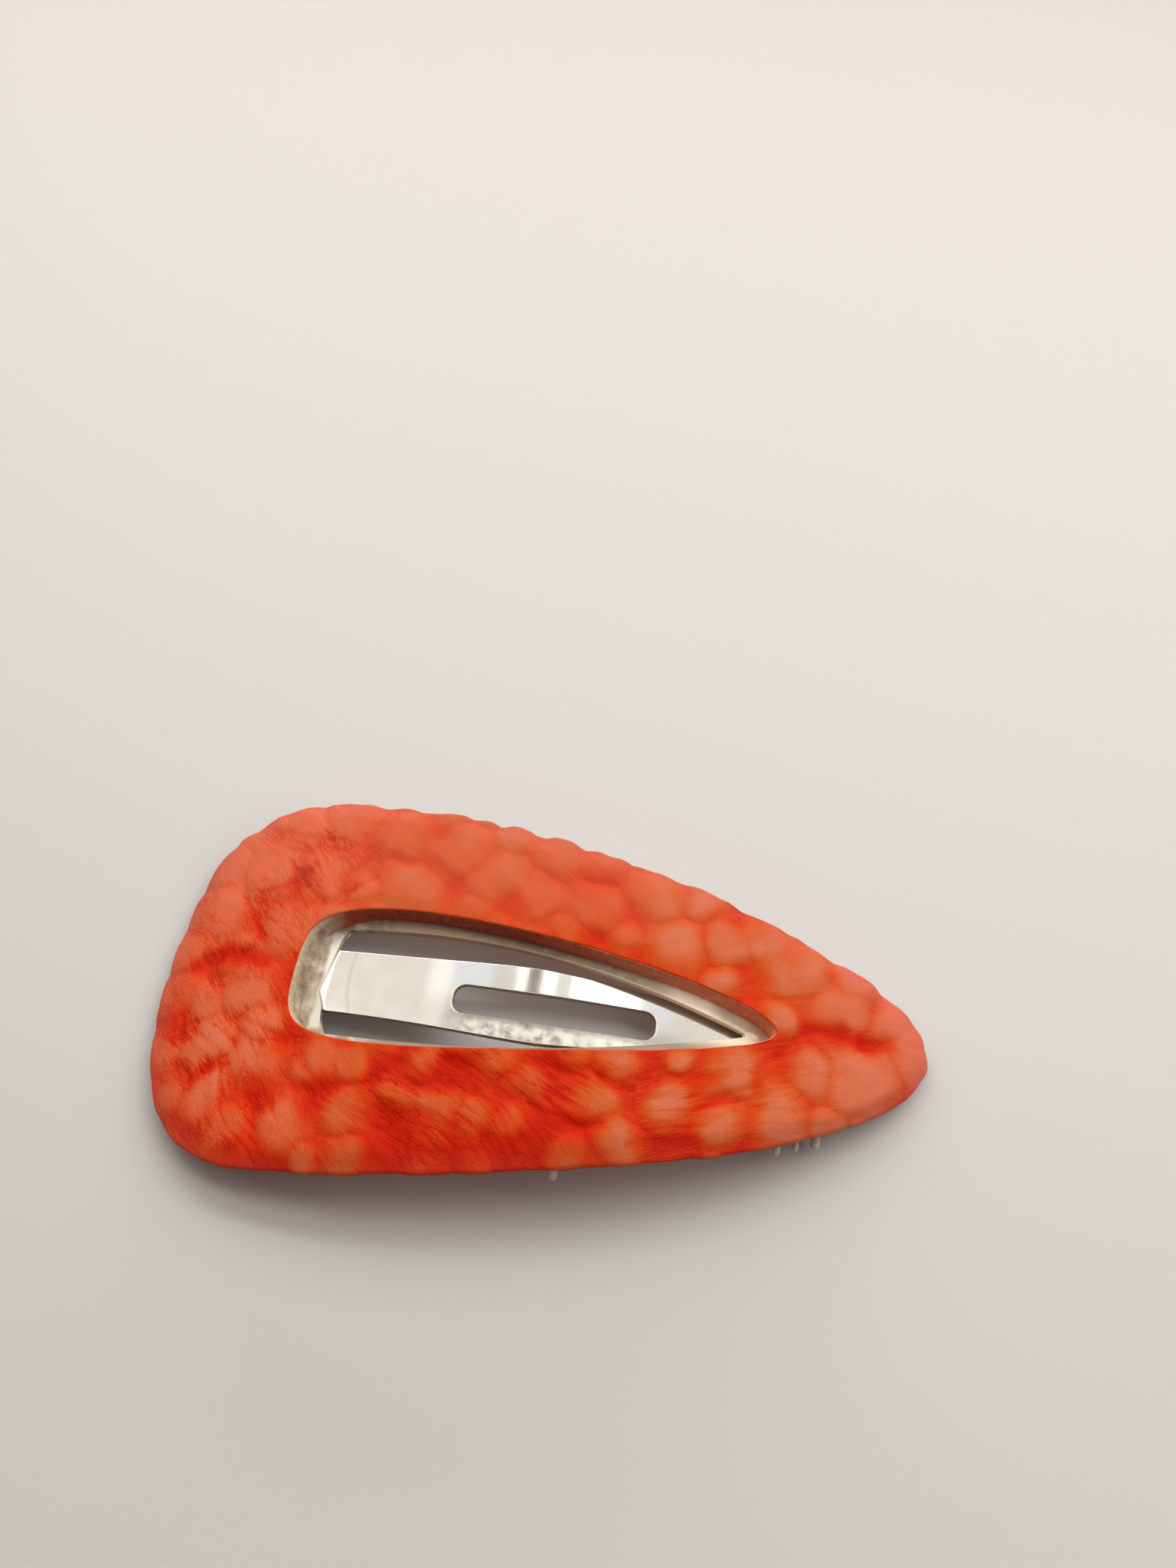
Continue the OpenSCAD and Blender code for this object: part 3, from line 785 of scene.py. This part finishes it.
# %% Helpers for the networks
class Finish:
    """A material with short ways to add nodes and link them."""

    def __init__(self, name):
        """Starts a new material with one Principled shader."""
        self.material = bpy.data.materials.new(name)
        self.material.use_nodes = True
        self.tree = self.material.node_tree
        self.shader = self.tree.nodes["Principled BSDF"]

    def add(self, kind, inputs=None, **settings):
        """Adds a node. Inputs are numbers, colours or the sockets of other nodes."""
        node = self.tree.nodes.new(kind)
        for key, value in settings.items():
            setattr(node, key, value)
        for key, value in (inputs or {}).items():
            self.put(node.inputs[key], value)
        return node

    def put(self, socket, value):
        """Links another node's socket, or sets a number or a colour."""
        if isinstance(value, bpy.types.NodeSocket):
            self.tree.links.new(value, socket)
        elif hasattr(value, "__len__") and len(value) == 3 and socket.type == "RGBA":
            socket.default_value = (*value, 1)
        else:
            socket.default_value = value

    def set(self, **inputs):
        """Sets the shader's own inputs. In their names, _ stands for a space."""
        for key, value in inputs.items():
            self.put(self.shader.inputs[key.replace("_", " ")], value)

    def millimetres(self, scale=(1, 1, 1), turn=0.0):
        """Object coordinates in millimetres, turned about Z and then stretched by scale. A Mapping node
        scales before it turns, so the turn gets a node of its own."""
        place = self.add("ShaderNodeTexCoord").outputs["Object"]
        if turn:
            turned = self.add("ShaderNodeMapping", {"Vector": place, "Rotation": (0, 0, turn)})
            place = turned.outputs["Vector"]
        per_metre = [1000 * s for s in scale]
        return self.add("ShaderNodeMapping", {"Vector": place, "Scale": per_metre}).outputs["Vector"]

    def place(self):
        """The place in millimetres, and its X and Y by themselves."""
        vector = self.millimetres()
        parts = self.add("ShaderNodeSeparateXYZ", {"Vector": vector}).outputs
        return vector, parts["X"], parts["Y"]

    def noise(self, vector, scale, detail=2, rough=0.5, twist=0.0):
        """Soft noise from 0 to 1, of about scale lumps to each unit of the vector."""
        return self.add("ShaderNodeTexNoise", {"Vector": vector, "Scale": scale, "Detail": detail,
                                               "Roughness": rough, "Distortion": twist}).outputs["Fac"]

    def value(self, name):
        """A number that goes with each point of the mesh."""
        return self.add("ShaderNodeAttribute", attribute_name=name).outputs["Fac"]

    def math(self, how, a, b=0.0, clamp=False):
        """One step of reckoning. With clamp, the result is held from 0 to 1."""
        node = self.add("ShaderNodeMath", operation=how, use_clamp=clamp)
        self.put(node.inputs[0], a)
        self.put(node.inputs[1], b)
        return node.outputs["Value"]

    def times(self, first, *others):
        """The product of all."""
        for other in others:
            first = self.math("MULTIPLY", first, other)
        return first

    def plus(self, a, b, clamp=False):
        """a + b."""
        return self.math("ADD", a, b, clamp)

    def less(self, a, b):
        """a - b."""
        return self.math("SUBTRACT", a, b)

    def most(self, a, b):
        """The larger of a and b."""
        return self.math("MAXIMUM", a, b)

    def spread(self, value, low, high, to_low=0.0, to_high=1.0):
        """Straight from to_low at low to to_high at high, and held beyond both."""
        return self.add("ShaderNodeMapRange", {"Value": value, "From Min": low, "From Max": high,
                                               "To Min": to_low, "To Max": to_high}).outputs["Result"]

    def ramp(self, value, stops):
        """Colours at places from 0 to 1, blended between."""
        node = self.add("ShaderNodeValToRGB", {"Fac": value})
        band = node.color_ramp
        while len(band.elements) < len(stops):
            band.elements.new(0.5)
        for element, (place, colour) in zip(band.elements, stops):
            element.position = place
            element.color = (*colour, 1)
        return node.outputs["Color"]

    def mix(self, share, a, b, how="MIX"):
        """(1 - share) a + share b, or with MULTIPLY, (1 - share) a + share a b."""
        node = self.add("ShaderNodeMix", data_type="RGBA", blend_type=how)
        self.put(node.inputs["Factor"], share)
        self.put(node.inputs[6], a)
        self.put(node.inputs[7], b)
        return node.outputs[2]

    def bump(self, height, distance, strength=1.0):
        """A normal that leans as if a height of 1 stood that distance in metres over the face."""
        return self.add("ShaderNodeBump", {"Height": height, "Distance": distance,
                                           "Strength": strength}).outputs["Normal"]


def srgb(red, green, blue):
    """A screen colour of 0 to 255 as the light that it stands for: c / 12.92 for a dark share c of 255,
    and ((c + 0.055) / 1.055)^2.4 for others."""
    c = np.array([red, green, blue]) / 255
    return tuple(float(v) for v in np.where(c < 0.04045, c / 12.92, ((c + 0.055) / 1.055) ** 2.4))


# %% [markdown]
# ## The leather's finish
#
# The leather is coral on the tops of its pebbles and deep red in the hollows: partly its own colour, partly
# painted sheen on the tops and painted shade in the hollows. A picture of leather could be wrapped over it,
# but its pebbles would never meet the mesh's. So a ramp of colours follows the tone that was worked out
# with the relief.
#
# The finest hairlines come from noise that is stretched along the wrinkles. Such a noise crosses its
# middle value on thin lines, and there the skin is folded. Softer folds are where another one is low. Both
# darken the colour as painted shade in the folds.

# %% Folds and hairlines
# Each way of the wrinkles in degrees, with the stretches of X or Y in millimetres over which its folds
# fade: from, to, and the share at either end. Here the coordinates are turned, not the folds, so the
# signs are opposite to those of the relief's ways
FOLD_WAYS = ((47, (("X", -12, -22, 0, 1),)),
             (30, (("X", -20, -12, 0, 0.7), ("X", 12, 4, 0, 1), ("Y", 6, -6, 0.35, 1))),
             (-22, (("X", 2, 10, 0, 0.75), ("Y", 6, -6, 0.35, 1))))
# How a noise is stretched for the folds, and for short and long hairlines
FOLD_STRETCH, HAIR_STRETCHES = (0.5, 3.4, 1), ((0.22, 1.25, 1), (0.4, 2.3, 1))


def folds_and_hairs(f, place, x, y, tone):
    """Two fields: soft folds and hairlines. Both come in patches, and are fainter where the tone is
    high. A fold is where its noise is under 0.43, a hairline where its noise is within 0.03 of 0.5."""
    folds, hairs = 0.0, 0.0
    for way, fades in FOLD_WAYS:
        share = f.times(*(f.spread(x if axis == "X" else y, *fade) for axis, *fade in fades))
        turn = math.radians(way)
        streak = f.noise(f.millimetres(FOLD_STRETCH, turn), 1.0, 4, 0.65, 0.8)
        folds = f.plus(folds, f.times(f.spread(streak, 0.43, 0.3), share))
        for stretch in HAIR_STRETCHES:
            streak = f.noise(f.millimetres(stretch, turn), 1.0, 3, 0.55, 0.5)
            off_middle = f.math("ABSOLUTE", f.less(streak, 0.5))
            hairs = f.most(hairs, f.times(f.spread(off_middle, 0.03, 0.004), share))
    faint = f.spread(tone, 0.8, 0.35, 0.4, 1.1)
    folds = f.times(folds, faint, f.spread(f.noise(place, 0.26, 2), 0.4, 0.6, 0.2, 1.2))
    hairs = f.times(hairs, faint, f.spread(f.noise(place, 0.4, 3), 0.38, 0.6, 0.1, 1.0))
    return folds, hairs


# %% [markdown]
# On the rim, on the tops at both ends, and a little all along the rear, the leather is painted pink:
# painted sheen and painted light. The walls are another matter. At the wide end the cut is raw, with dried
# glue low down. Further into the window its wall is painted red-brown as shade, with the red of light
# bounced from the leather, and lighter towards the tip as painted light. The flesh side is plain red.

# %% Faded and cut leather
# Dark and light of the window's wall, which is painted shade with the red of bounced light, of its part
# towards the tip, which is painted light, of the raw cut and of the flesh side
PAINTED_WALL_SHADE, PAINTED_WALL_LIGHT = (srgb(150, 58, 42), srgb(190, 104, 78)), (srgb(212, 122, 92), srgb(238, 164, 132))
RAW, FLESH = (srgb(186, 166, 140), srgb(216, 204, 178)), (srgb(204, 50, 24), srgb(226, 86, 52))
DRIED = ((0.3, srgb(134, 110, 92)), (0.5, srgb(176, 156, 132)), (0.7, srgb(212, 200, 176)))


def painted_sheen(f, x, y, tone, front_tip):
    """Share of the pink painted sheen: the rim's, less in front and at the front of the tip, plus those of
    the tops at the wide end and at the tip, plus a little along the rear."""
    ends = f.most(f.spread(x, -19, -27), f.spread(x, 18, 27))
    rim = f.times(f.value("rim"), f.spread(ends, 0, 1, 0.3, 0.75))
    rim = f.times(rim, f.spread(y, -12, 0, 0.35, 1.0), f.spread(front_tip, 0, 1, 1, 0.3))
    wide_end = f.times(f.spread(x, -15, -24, 0, 0.55), f.spread(tone, 0.45, 0.85))
    tip = f.times(f.spread(x, 20, 28, 0, 0.4), f.spread(tone, 0.4, 0.8))
    rear = f.times(f.spread(y, 5.5, 9, 0, 0.24), f.spread(x, 14, 6))
    return f.plus(f.plus(rim, wide_end), f.plus(tip, rear), clamp=True)


def cut_colour(f, place, x):
    """Colour of the walls and the underside: raw at the wide end, then red-brown painted shade, painted
    lighter towards the tip, and flesh where the wall's number nears 1."""
    speck = f.noise(place, 2.4, 4, 0.7)
    painted_wall, painted_light, raw, flesh = (f.ramp(speck, ((0.3, dark), (0.7, light)))
                              for dark, light in (PAINTED_WALL_SHADE, PAINTED_WALL_LIGHT, RAW, FLESH))
    wall = f.value("wall")
    # The window's wall: painted shade, made lighter towards the tip as painted light
    painted_wall = f.mix(f.spread(x, -2, 7), painted_wall, painted_light)
    raw = f.mix(f.spread(wall, 0.25, 0.6), raw, f.ramp(f.noise(place, 0.8, 4, 0.6), DRIED))
    side = f.mix(f.spread(x, -20.5, -18.5), raw, painted_wall)
    return f.mix(f.spread(wall, 0.94, 1.0), side, flesh)


# %% Leather finish
# Colours of the grain by its tone, the pink of the painted sheen, and how much the wide end is made
# lighter as painted light and the rear rim darker as painted shade
GRAIN_COLOURS = ((0.0, srgb(186, 15, 2)), (0.2, srgb(194, 29, 3)), (0.4, srgb(197, 46, 7)),
                 (0.6, srgb(196, 66, 20)), (0.8, srgb(196, 87, 46)), (1.0, srgb(197, 108, 82)))
SHEEN_PINK, WIDE_END_LIGHT, REAR_RIM_SHADE = srgb(205, 99, 76), (1.1, 1.07, 1.0), (0.88, 0.88, 0.88)
PORE_BUMP = 0.06 * MM


def leather_finish():
    """Coral leather: a ramp of tone - 0.2 folds - 0.3 hairs + pores, a little darker at the front of the
    tip, and a bump of 0.5 pores - folds - hairs."""
    f = Finish("coral_leather")
    place, x, y = f.place()
    blotch = f.spread(f.noise(place, 0.35, 3), 0.3, 0.7, -0.06, 0.06)
    tone = f.plus(f.value("tone"), blotch, clamp=True)
    folds, hairs = folds_and_hairs(f, place, x, y, tone)
    pores = f.noise(place, 5.5, 5, 0.6)
    # Folds and hairlines darken the tone: painted shade
    tone = f.less(f.less(tone, f.times(folds, 0.2)), f.times(hairs, 0.3))
    tone = f.plus(tone, f.spread(pores, 0.3, 0.7, -0.05, 0.05), clamp=True)
    # The front of the tip is made a little darker: painted shade
    front_tip = f.times(f.spread(x, 8, 18), f.spread(y, -1, -4))
    tone = f.less(tone, f.times(front_tip, 0.08))
    # The pink of the painted sheen, on the rim, the tops at both ends and along the rear
    colour = f.mix(painted_sheen(f, x, y, tone, front_tip), f.ramp(tone, GRAIN_COLOURS), SHEEN_PINK)
    # Painted light at the wide end, and painted shade on the rear rim
    colour = f.mix(f.spread(x, -13, -22), colour, WIDE_END_LIGHT, "MULTIPLY")
    rear_rim_shade = f.times(f.value("rim"), f.spread(y, 2, 8))
    colour = f.mix(rear_rim_shade, colour, REAR_RIM_SHADE, "MULTIPLY")
    f.set(Base_Color=f.mix(f.value("cut"), colour, cut_colour(f, place, x)))
    f.set(Roughness=f.spread(f.noise(place, 1.1, 3), 0.3, 0.7, 0.42, 0.58))
    f.set(Specular_IOR_Level=0.2, Specular_Tint=(1.0, 0.5, 0.2))
    height = f.less(f.times(pores, 0.5), f.plus(folds, hairs))
    f.set(Normal=f.bump(height, PORE_BUMP, 0.8))
    return f.material


# %% [markdown]
# ## The frame's finish
#
# The frame is the same steel as the tongue, but dull. Glue dried on its wide end, but for a clean strip
# along the tongue's root. Its cut edges are brownish at the wide end and lighter towards the tip, where the
# lighter colour is painted light on an edge that lies in shade. The rear arm has a painted highlight
# towards the tip, a bright patch where a lamp would glint, and the steel grows lighter towards the tip,
# partly as painted light in the shade of the leather's wall. Such places could be painted by hand on the
# mesh. Here each is a product of stretches of X and Y, and noise wobbles the border of the glue.

# %% Frame finish
# Colours of the steel from the wide end to the tip, lighter at the tip partly as painted light in the
# shade of the leather's wall, and of the film of glue from thick to thin
FRAME_COLOURS = ((0.0, srgb(180, 156, 128)), (0.45, srgb(150, 124, 98)), (0.7, srgb(186, 170, 142)),
                 (1.0, srgb(206, 194, 168)))
GLUE_COLOURS = ((0.3, srgb(136, 112, 94)), (0.45, srgb(166, 146, 124)), (0.6, srgb(198, 184, 160)),
                (0.75, srgb(224, 214, 192)))
# The bright patch on the rear arm is a painted highlight
FRONT_ARM, CLEAN_STRIP, PAINTED_HIGHLIGHT = srgb(152, 134, 116), srgb(214, 209, 194), srgb(252, 244, 220)
# Cut edges at the wide end, at the tip, where they are painted lighter as light, and on the front arm, and
# the underside
WIDE_EDGE, TIP_EDGE_LIGHT, FRONT_EDGE = srgb(182, 156, 120), srgb(238, 222, 192), srgb(120, 102, 86)
UNDERSIDE = srgb(198, 190, 174)
GLUE_BUMP = 0.12 * MM


def glue_film(f, place, x, y):
    """1 where glue dried: on the heel beyond the tongue's root, and on the arms beside it, up to a border
    that noise wobbles."""
    wobbling_x = f.plus(x, f.spread(f.noise(place, 0.5, 1), 0.3, 0.7, -0.12, 0.12))
    heel = f.spread(wobbling_x, -19.55, -19.9)
    arms = f.times(f.spread(f.math("ABSOLUTE", y), 4.3, 4.8), f.spread(wobbling_x, -13, -16))
    return f.times(f.most(heel, arms), f.spread(f.value("under"), 1, 0))


def frame_finish():
    """Dull steel: a ramp along X under the strips, painted highlight and edges, with the film of glue over
    all.
    """
    f = Finish("dull_steel")
    place, x, y = f.place()
    cloud = f.noise(place, 0.9, 4, 0.6)
    edge, under, front_arm = f.value("edge"), f.value("under"), f.spread(y, -1, -2)
    steel = f.ramp(f.plus(f.spread(x, -12, 16), f.spread(cloud, 0.3, 0.7, -0.15, 0.15)), FRAME_COLOURS)
    steel = f.mix(front_arm, steel, FRONT_ARM)
    steel = f.mix(f.spread(x, -18.5, -18.9), steel, CLEAN_STRIP)
    # A painted highlight on the rear arm towards the tip
    painted_light = f.times(f.spread(x, 9.5, 11.5), f.spread(x, 15.5, 14), f.spread(y, -1.2, 0))
    steel = f.mix(painted_light, steel, PAINTED_HIGHLIGHT)
    # The cut edges grow lighter towards the tip: painted light
    edge_colour = f.mix(front_arm, f.mix(f.spread(x, -2, 6), WIDE_EDGE, TIP_EDGE_LIGHT), FRONT_EDGE)
    steel = f.mix(f.times(edge, 0.75), steel, edge_colour)
    steel = f.mix(under, steel, UNDERSIDE)
    film = glue_film(f, place, x, y)
    f.set(Base_Color=f.mix(film, steel, f.ramp(f.noise(place, 0.8, 4, 0.6), GLUE_COLOURS)))
    dull = f.times(f.most(film, f.most(edge, front_arm)), f.spread(under, 1, 0))
    f.set(Metallic=f.spread(dull, 0, 1, 0.25, 0.05))
    f.set(Roughness=f.plus(f.spread(cloud, 0.3, 0.7, 0.28, 0.4), f.times(dull, 0.2)))
    lumps = f.times(f.noise(place, 1.6, 4), f.spread(film, 0, 1, 0.15, 1))
    f.set(Normal=f.bump(lumps, GLUE_BUMP, 0.6))
    return f.material


# %% [markdown]
# ## The tongue's finish
#
# The tongue is polished, so it looks like what it mirrors, and its finish is simple: some tarnish at the
# tip and on the front side, brown painted shade on its cut edges, and a faint curved line where the press
# left a crease across the root. The crease could be a groove, but it is shallower than the mesh can carry,
# so its shade is painted into the colour as a line.

# %% Tongue finish
POLISHED = ((0.3, srgb(231, 226, 219)), (0.7, srgb(236, 232, 226)))
# The press's line and the brown of the cut edges are painted shade
TARNISH, PRESS_SHADE, TONGUE_EDGE_SHADE = srgb(208, 203, 184), srgb(200, 204, 193), srgb(126, 106, 80)
# Where the line lies on the middle line in millimetres, and how much it bows
PRESS_LINE, PRESS_BOW = (tongue_x0 + 1.45 * MM) / MM, 0.05
POLISH_BUMP = 0.002 * MM


def tongue_finish():
    """Polished steel. The press's line of painted shade lies at x = PRESS_LINE + PRESS_BOW (y - 1)^2."""
    f = Finish("bright_steel")
    place, x, y = f.place()
    cloud = f.noise(place, 0.6, 3)
    front_side = f.times(f.spread(y, -1.6, -2.3), f.spread(x, -9, -5))
    front_side = f.times(front_side, f.spread(f.noise(place, 1.3, 4, 0.6), 0.35, 0.6, 0.3, 1.0))
    tarnish = f.most(f.spread(x, 7.5, 11, 0, 0.2), f.times(front_side, 0.8))
    face = f.mix(tarnish, f.ramp(cloud, POLISHED), TARNISH)
    # Painted shade along the press's line
    bow = f.times(f.math("POWER", f.less(y, 1), 2), PRESS_BOW)
    off_line = f.math("ABSOLUTE", f.less(f.less(x, bow), PRESS_LINE))
    face = f.mix(f.spread(off_line, 0.26, 0.08, 0, 0.45), face, PRESS_SHADE)
    # Brown on the cut edges: painted shade
    edge = f.times(f.value("edge"), 0.85)
    f.set(Base_Color=f.mix(edge, face, TONGUE_EDGE_SHADE), Metallic=1.0)
    dull = f.most(f.times(edge, 0.45), f.times(front_side, 0.18))
    f.set(Roughness=f.plus(f.spread(cloud, 0.3, 0.7, 0.055, 0.075), dull))
    lines = f.noise(f.millimetres((9, 0.3, 1)), 1.0, 3)
    f.set(Normal=f.bump(lines, POLISH_BUMP, 0.3))
    return f.material


# %% [markdown]
# ## The glue's finish
#
# Hot glue is milky and lets some light through. Full glass would show the table behind each drop and
# cost many bounces of light, so only a part of the light passes.

# %% Glue finish, and a finish for each piece
MILKY = ((0.3, srgb(212, 196, 184)), (0.7, srgb(232, 220, 208)))


def glue_finish():
    """Milky glue: a soft noise between two pale colours, and a share of light let through."""
    f = Finish("clear_glue")
    f.set(Base_Color=f.ramp(f.noise(f.millimetres(), 1.5, 2), MILKY))
    f.set(Roughness=0.45, Transmission_Weight=0.3, IOR=1.48)
    return f.material


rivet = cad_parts["tip_rivet"]
rivet.data.materials.clear()
for piece, finish in ((cover, leather_finish), (steel, frame_finish), (tongue, tongue_finish),
                      (beads, glue_finish), (rivet, frame_finish)):
    piece.data.materials.append(finish())
    print(piece.name, "is finished in", piece.data.materials[0].name)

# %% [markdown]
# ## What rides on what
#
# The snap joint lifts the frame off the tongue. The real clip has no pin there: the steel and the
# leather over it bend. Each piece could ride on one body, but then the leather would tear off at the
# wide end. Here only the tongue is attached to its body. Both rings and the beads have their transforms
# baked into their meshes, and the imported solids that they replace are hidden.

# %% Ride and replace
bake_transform(cover)
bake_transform(steel)
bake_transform(beads)
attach(tongue, "tongue")
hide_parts("leather_cover")
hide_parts("clip_frame")
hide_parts("clip_tongue")

# %% [markdown]


# %% [markdown]
# ## Table and light
#
# The clip lies on a pale matt table, in the light of a room. One lamp could light it, but the polished
# tongue shows its surroundings, so each light is a soft rectangle at a real place. A wide window at the
# rear and two lamps over the clip throw its shadow towards the camera. A low window far behind and two
# side windows soften it. A ceiling light in panes hangs higher up: the tongue mirrors it as the bright
# and dark bands that lie across it, so its panes are as wide as those bands need.

# %% Table
half_table = 1.5
corners = [(x * half_table, y * half_table, 0) for x, y in ((-1, -1), (1, -1), (1, 1), (-1, 1))]
table_mesh = bpy.data.meshes.new("table_top")
table_mesh.from_pydata(corners, [], [(0, 1, 2, 3)])
table_top = bpy.data.objects.new("table_top", table_mesh)
bpy.context.scene.collection.objects.link(table_top)
pale_table = Finish("pale_table")
pale_table.set(Base_Color=srgb(196, 193, 190), Roughness=0.6)
table_mesh.materials.append(pale_table.material)
print("the table is", 2 * half_table, "m wide")

# %% Light of the room
world = bpy.data.worlds.new("soft_room")
world.use_nodes = True
room = world.node_tree.nodes["Background"]
room.inputs["Color"].default_value = (*srgb(226, 194, 188), 1)
room.inputs["Strength"].default_value = 0.15
bpy.context.scene.world = world


def soft_light(name, place, aim, width, depth, glow, colour):
    """An area light at a place in metres that faces the aim. Its glow is what a mirror would show of it:
    power = glow * pi * area."""
    data = bpy.data.lights.new(name, "AREA")
    data.shape, data.size, data.size_y = "RECTANGLE", width, depth
    data.energy = glow * math.pi * width * depth
    data.color = srgb(*colour)
    lamp = bpy.data.objects.new(name, data)
    way = Vector(place) - Vector(aim)
    lamp.matrix_world = Matrix.Translation(place) @ way.to_track_quat("Z", "Y").to_matrix().to_4x4()
    lamp.visible_camera = False
    bpy.context.scene.collection.objects.link(lamp)


# Name, place and aim in metres, width, depth, glow and colour
DAYLIGHT, ROSY, NEUTRAL = (249, 252, 254), (255, 238, 230), (251, 253, 250)
LIGHTS = (("rear_window", (0.02, 0.22, 0.233), (0.02, 0, 0.0), 0.52, 0.143, 1.5, DAYLIGHT),
          ("rear_lamp", (0.02, 0.16, 0.252), (0, 0, 0), 0.41, 0.034, 4.2, NEUTRAL),
          ("top_lamp", (0.01, 0.038, 0.26), (0, 0, 0), 0.34, 0.05, 3.1, NEUTRAL),
          ("low_window", (0, 1.0, 0.25), (0, 0, 0), 1.6, 0.15, 6.5, ROSY),
          ("right_window", (0.3, 0.05, 0.3), (0, 0, 0.05), 0.6, 0.3, 1.7, NEUTRAL),
          ("left_window", (-0.3, 0.22, 0.28), (0, 0, 0.02), 0.5, 0.25, 1.5, NEUTRAL))
for light in LIGHTS:
    soft_light(*light)

# %% Ceiling light in panes
# Left and right edge in metres of each pane of the ceiling light, its glow behind and in front, and the
# colour of its rear half. The front halves are all warm
WARM, PLAIN, COOL = (248, 249, 239), (252, 253, 249), (240, 248, 255)
PANES = ((-0.6, -0.105, 0.88, 0.88, WARM), (-0.105, -0.085, 1.15, 0.95, PLAIN),
         (-0.085, -0.072, 0.95, 0.5, COOL), (-0.072, -0.05, 0.95, 0.25, COOL),
         (-0.05, -0.028, 0.75, 0.3, PLAIN), (-0.028, -0.021, 2.0, 0.3, PLAIN),
         (-0.021, -0.0075, 0.12, 0.05, WARM), (-0.0075, 0.003, 2.0, 0.3, PLAIN),
         (0.003, 0.019, 0.8, 0.3, PLAIN), (0.019, 0.078, 2.0, 0.3, PLAIN),
         (0.078, 0.11, 0.95, 0.55, COOL), (0.11, 0.6, 0.84, 0.72, WARM))
# How high they hang, and the Y in metres where they start, change and end
PANE_HEIGHT, PANE_FRONT, PANE_MIDDLE, PANE_BACK = 0.4, 0.1, 0.17, 0.3
for number, (left, right, glow_behind, glow_front, colour) in enumerate(PANES):
    for name, low, high, glow, shade in (("pane_back_%d", PANE_MIDDLE, PANE_BACK, glow_behind, colour),
                                         ("pane_front_%d", PANE_FRONT, PANE_MIDDLE, glow_front, WARM)):
        place = ((left + right) / 2, (low + high) / 2, PANE_HEIGHT)
        soft_light(name % number, place, (place[0], place[1], 0), right - left, high - low, glow, shade)

print(len(LIGHTS), "lights and", 2 * len(PANES), "panes")
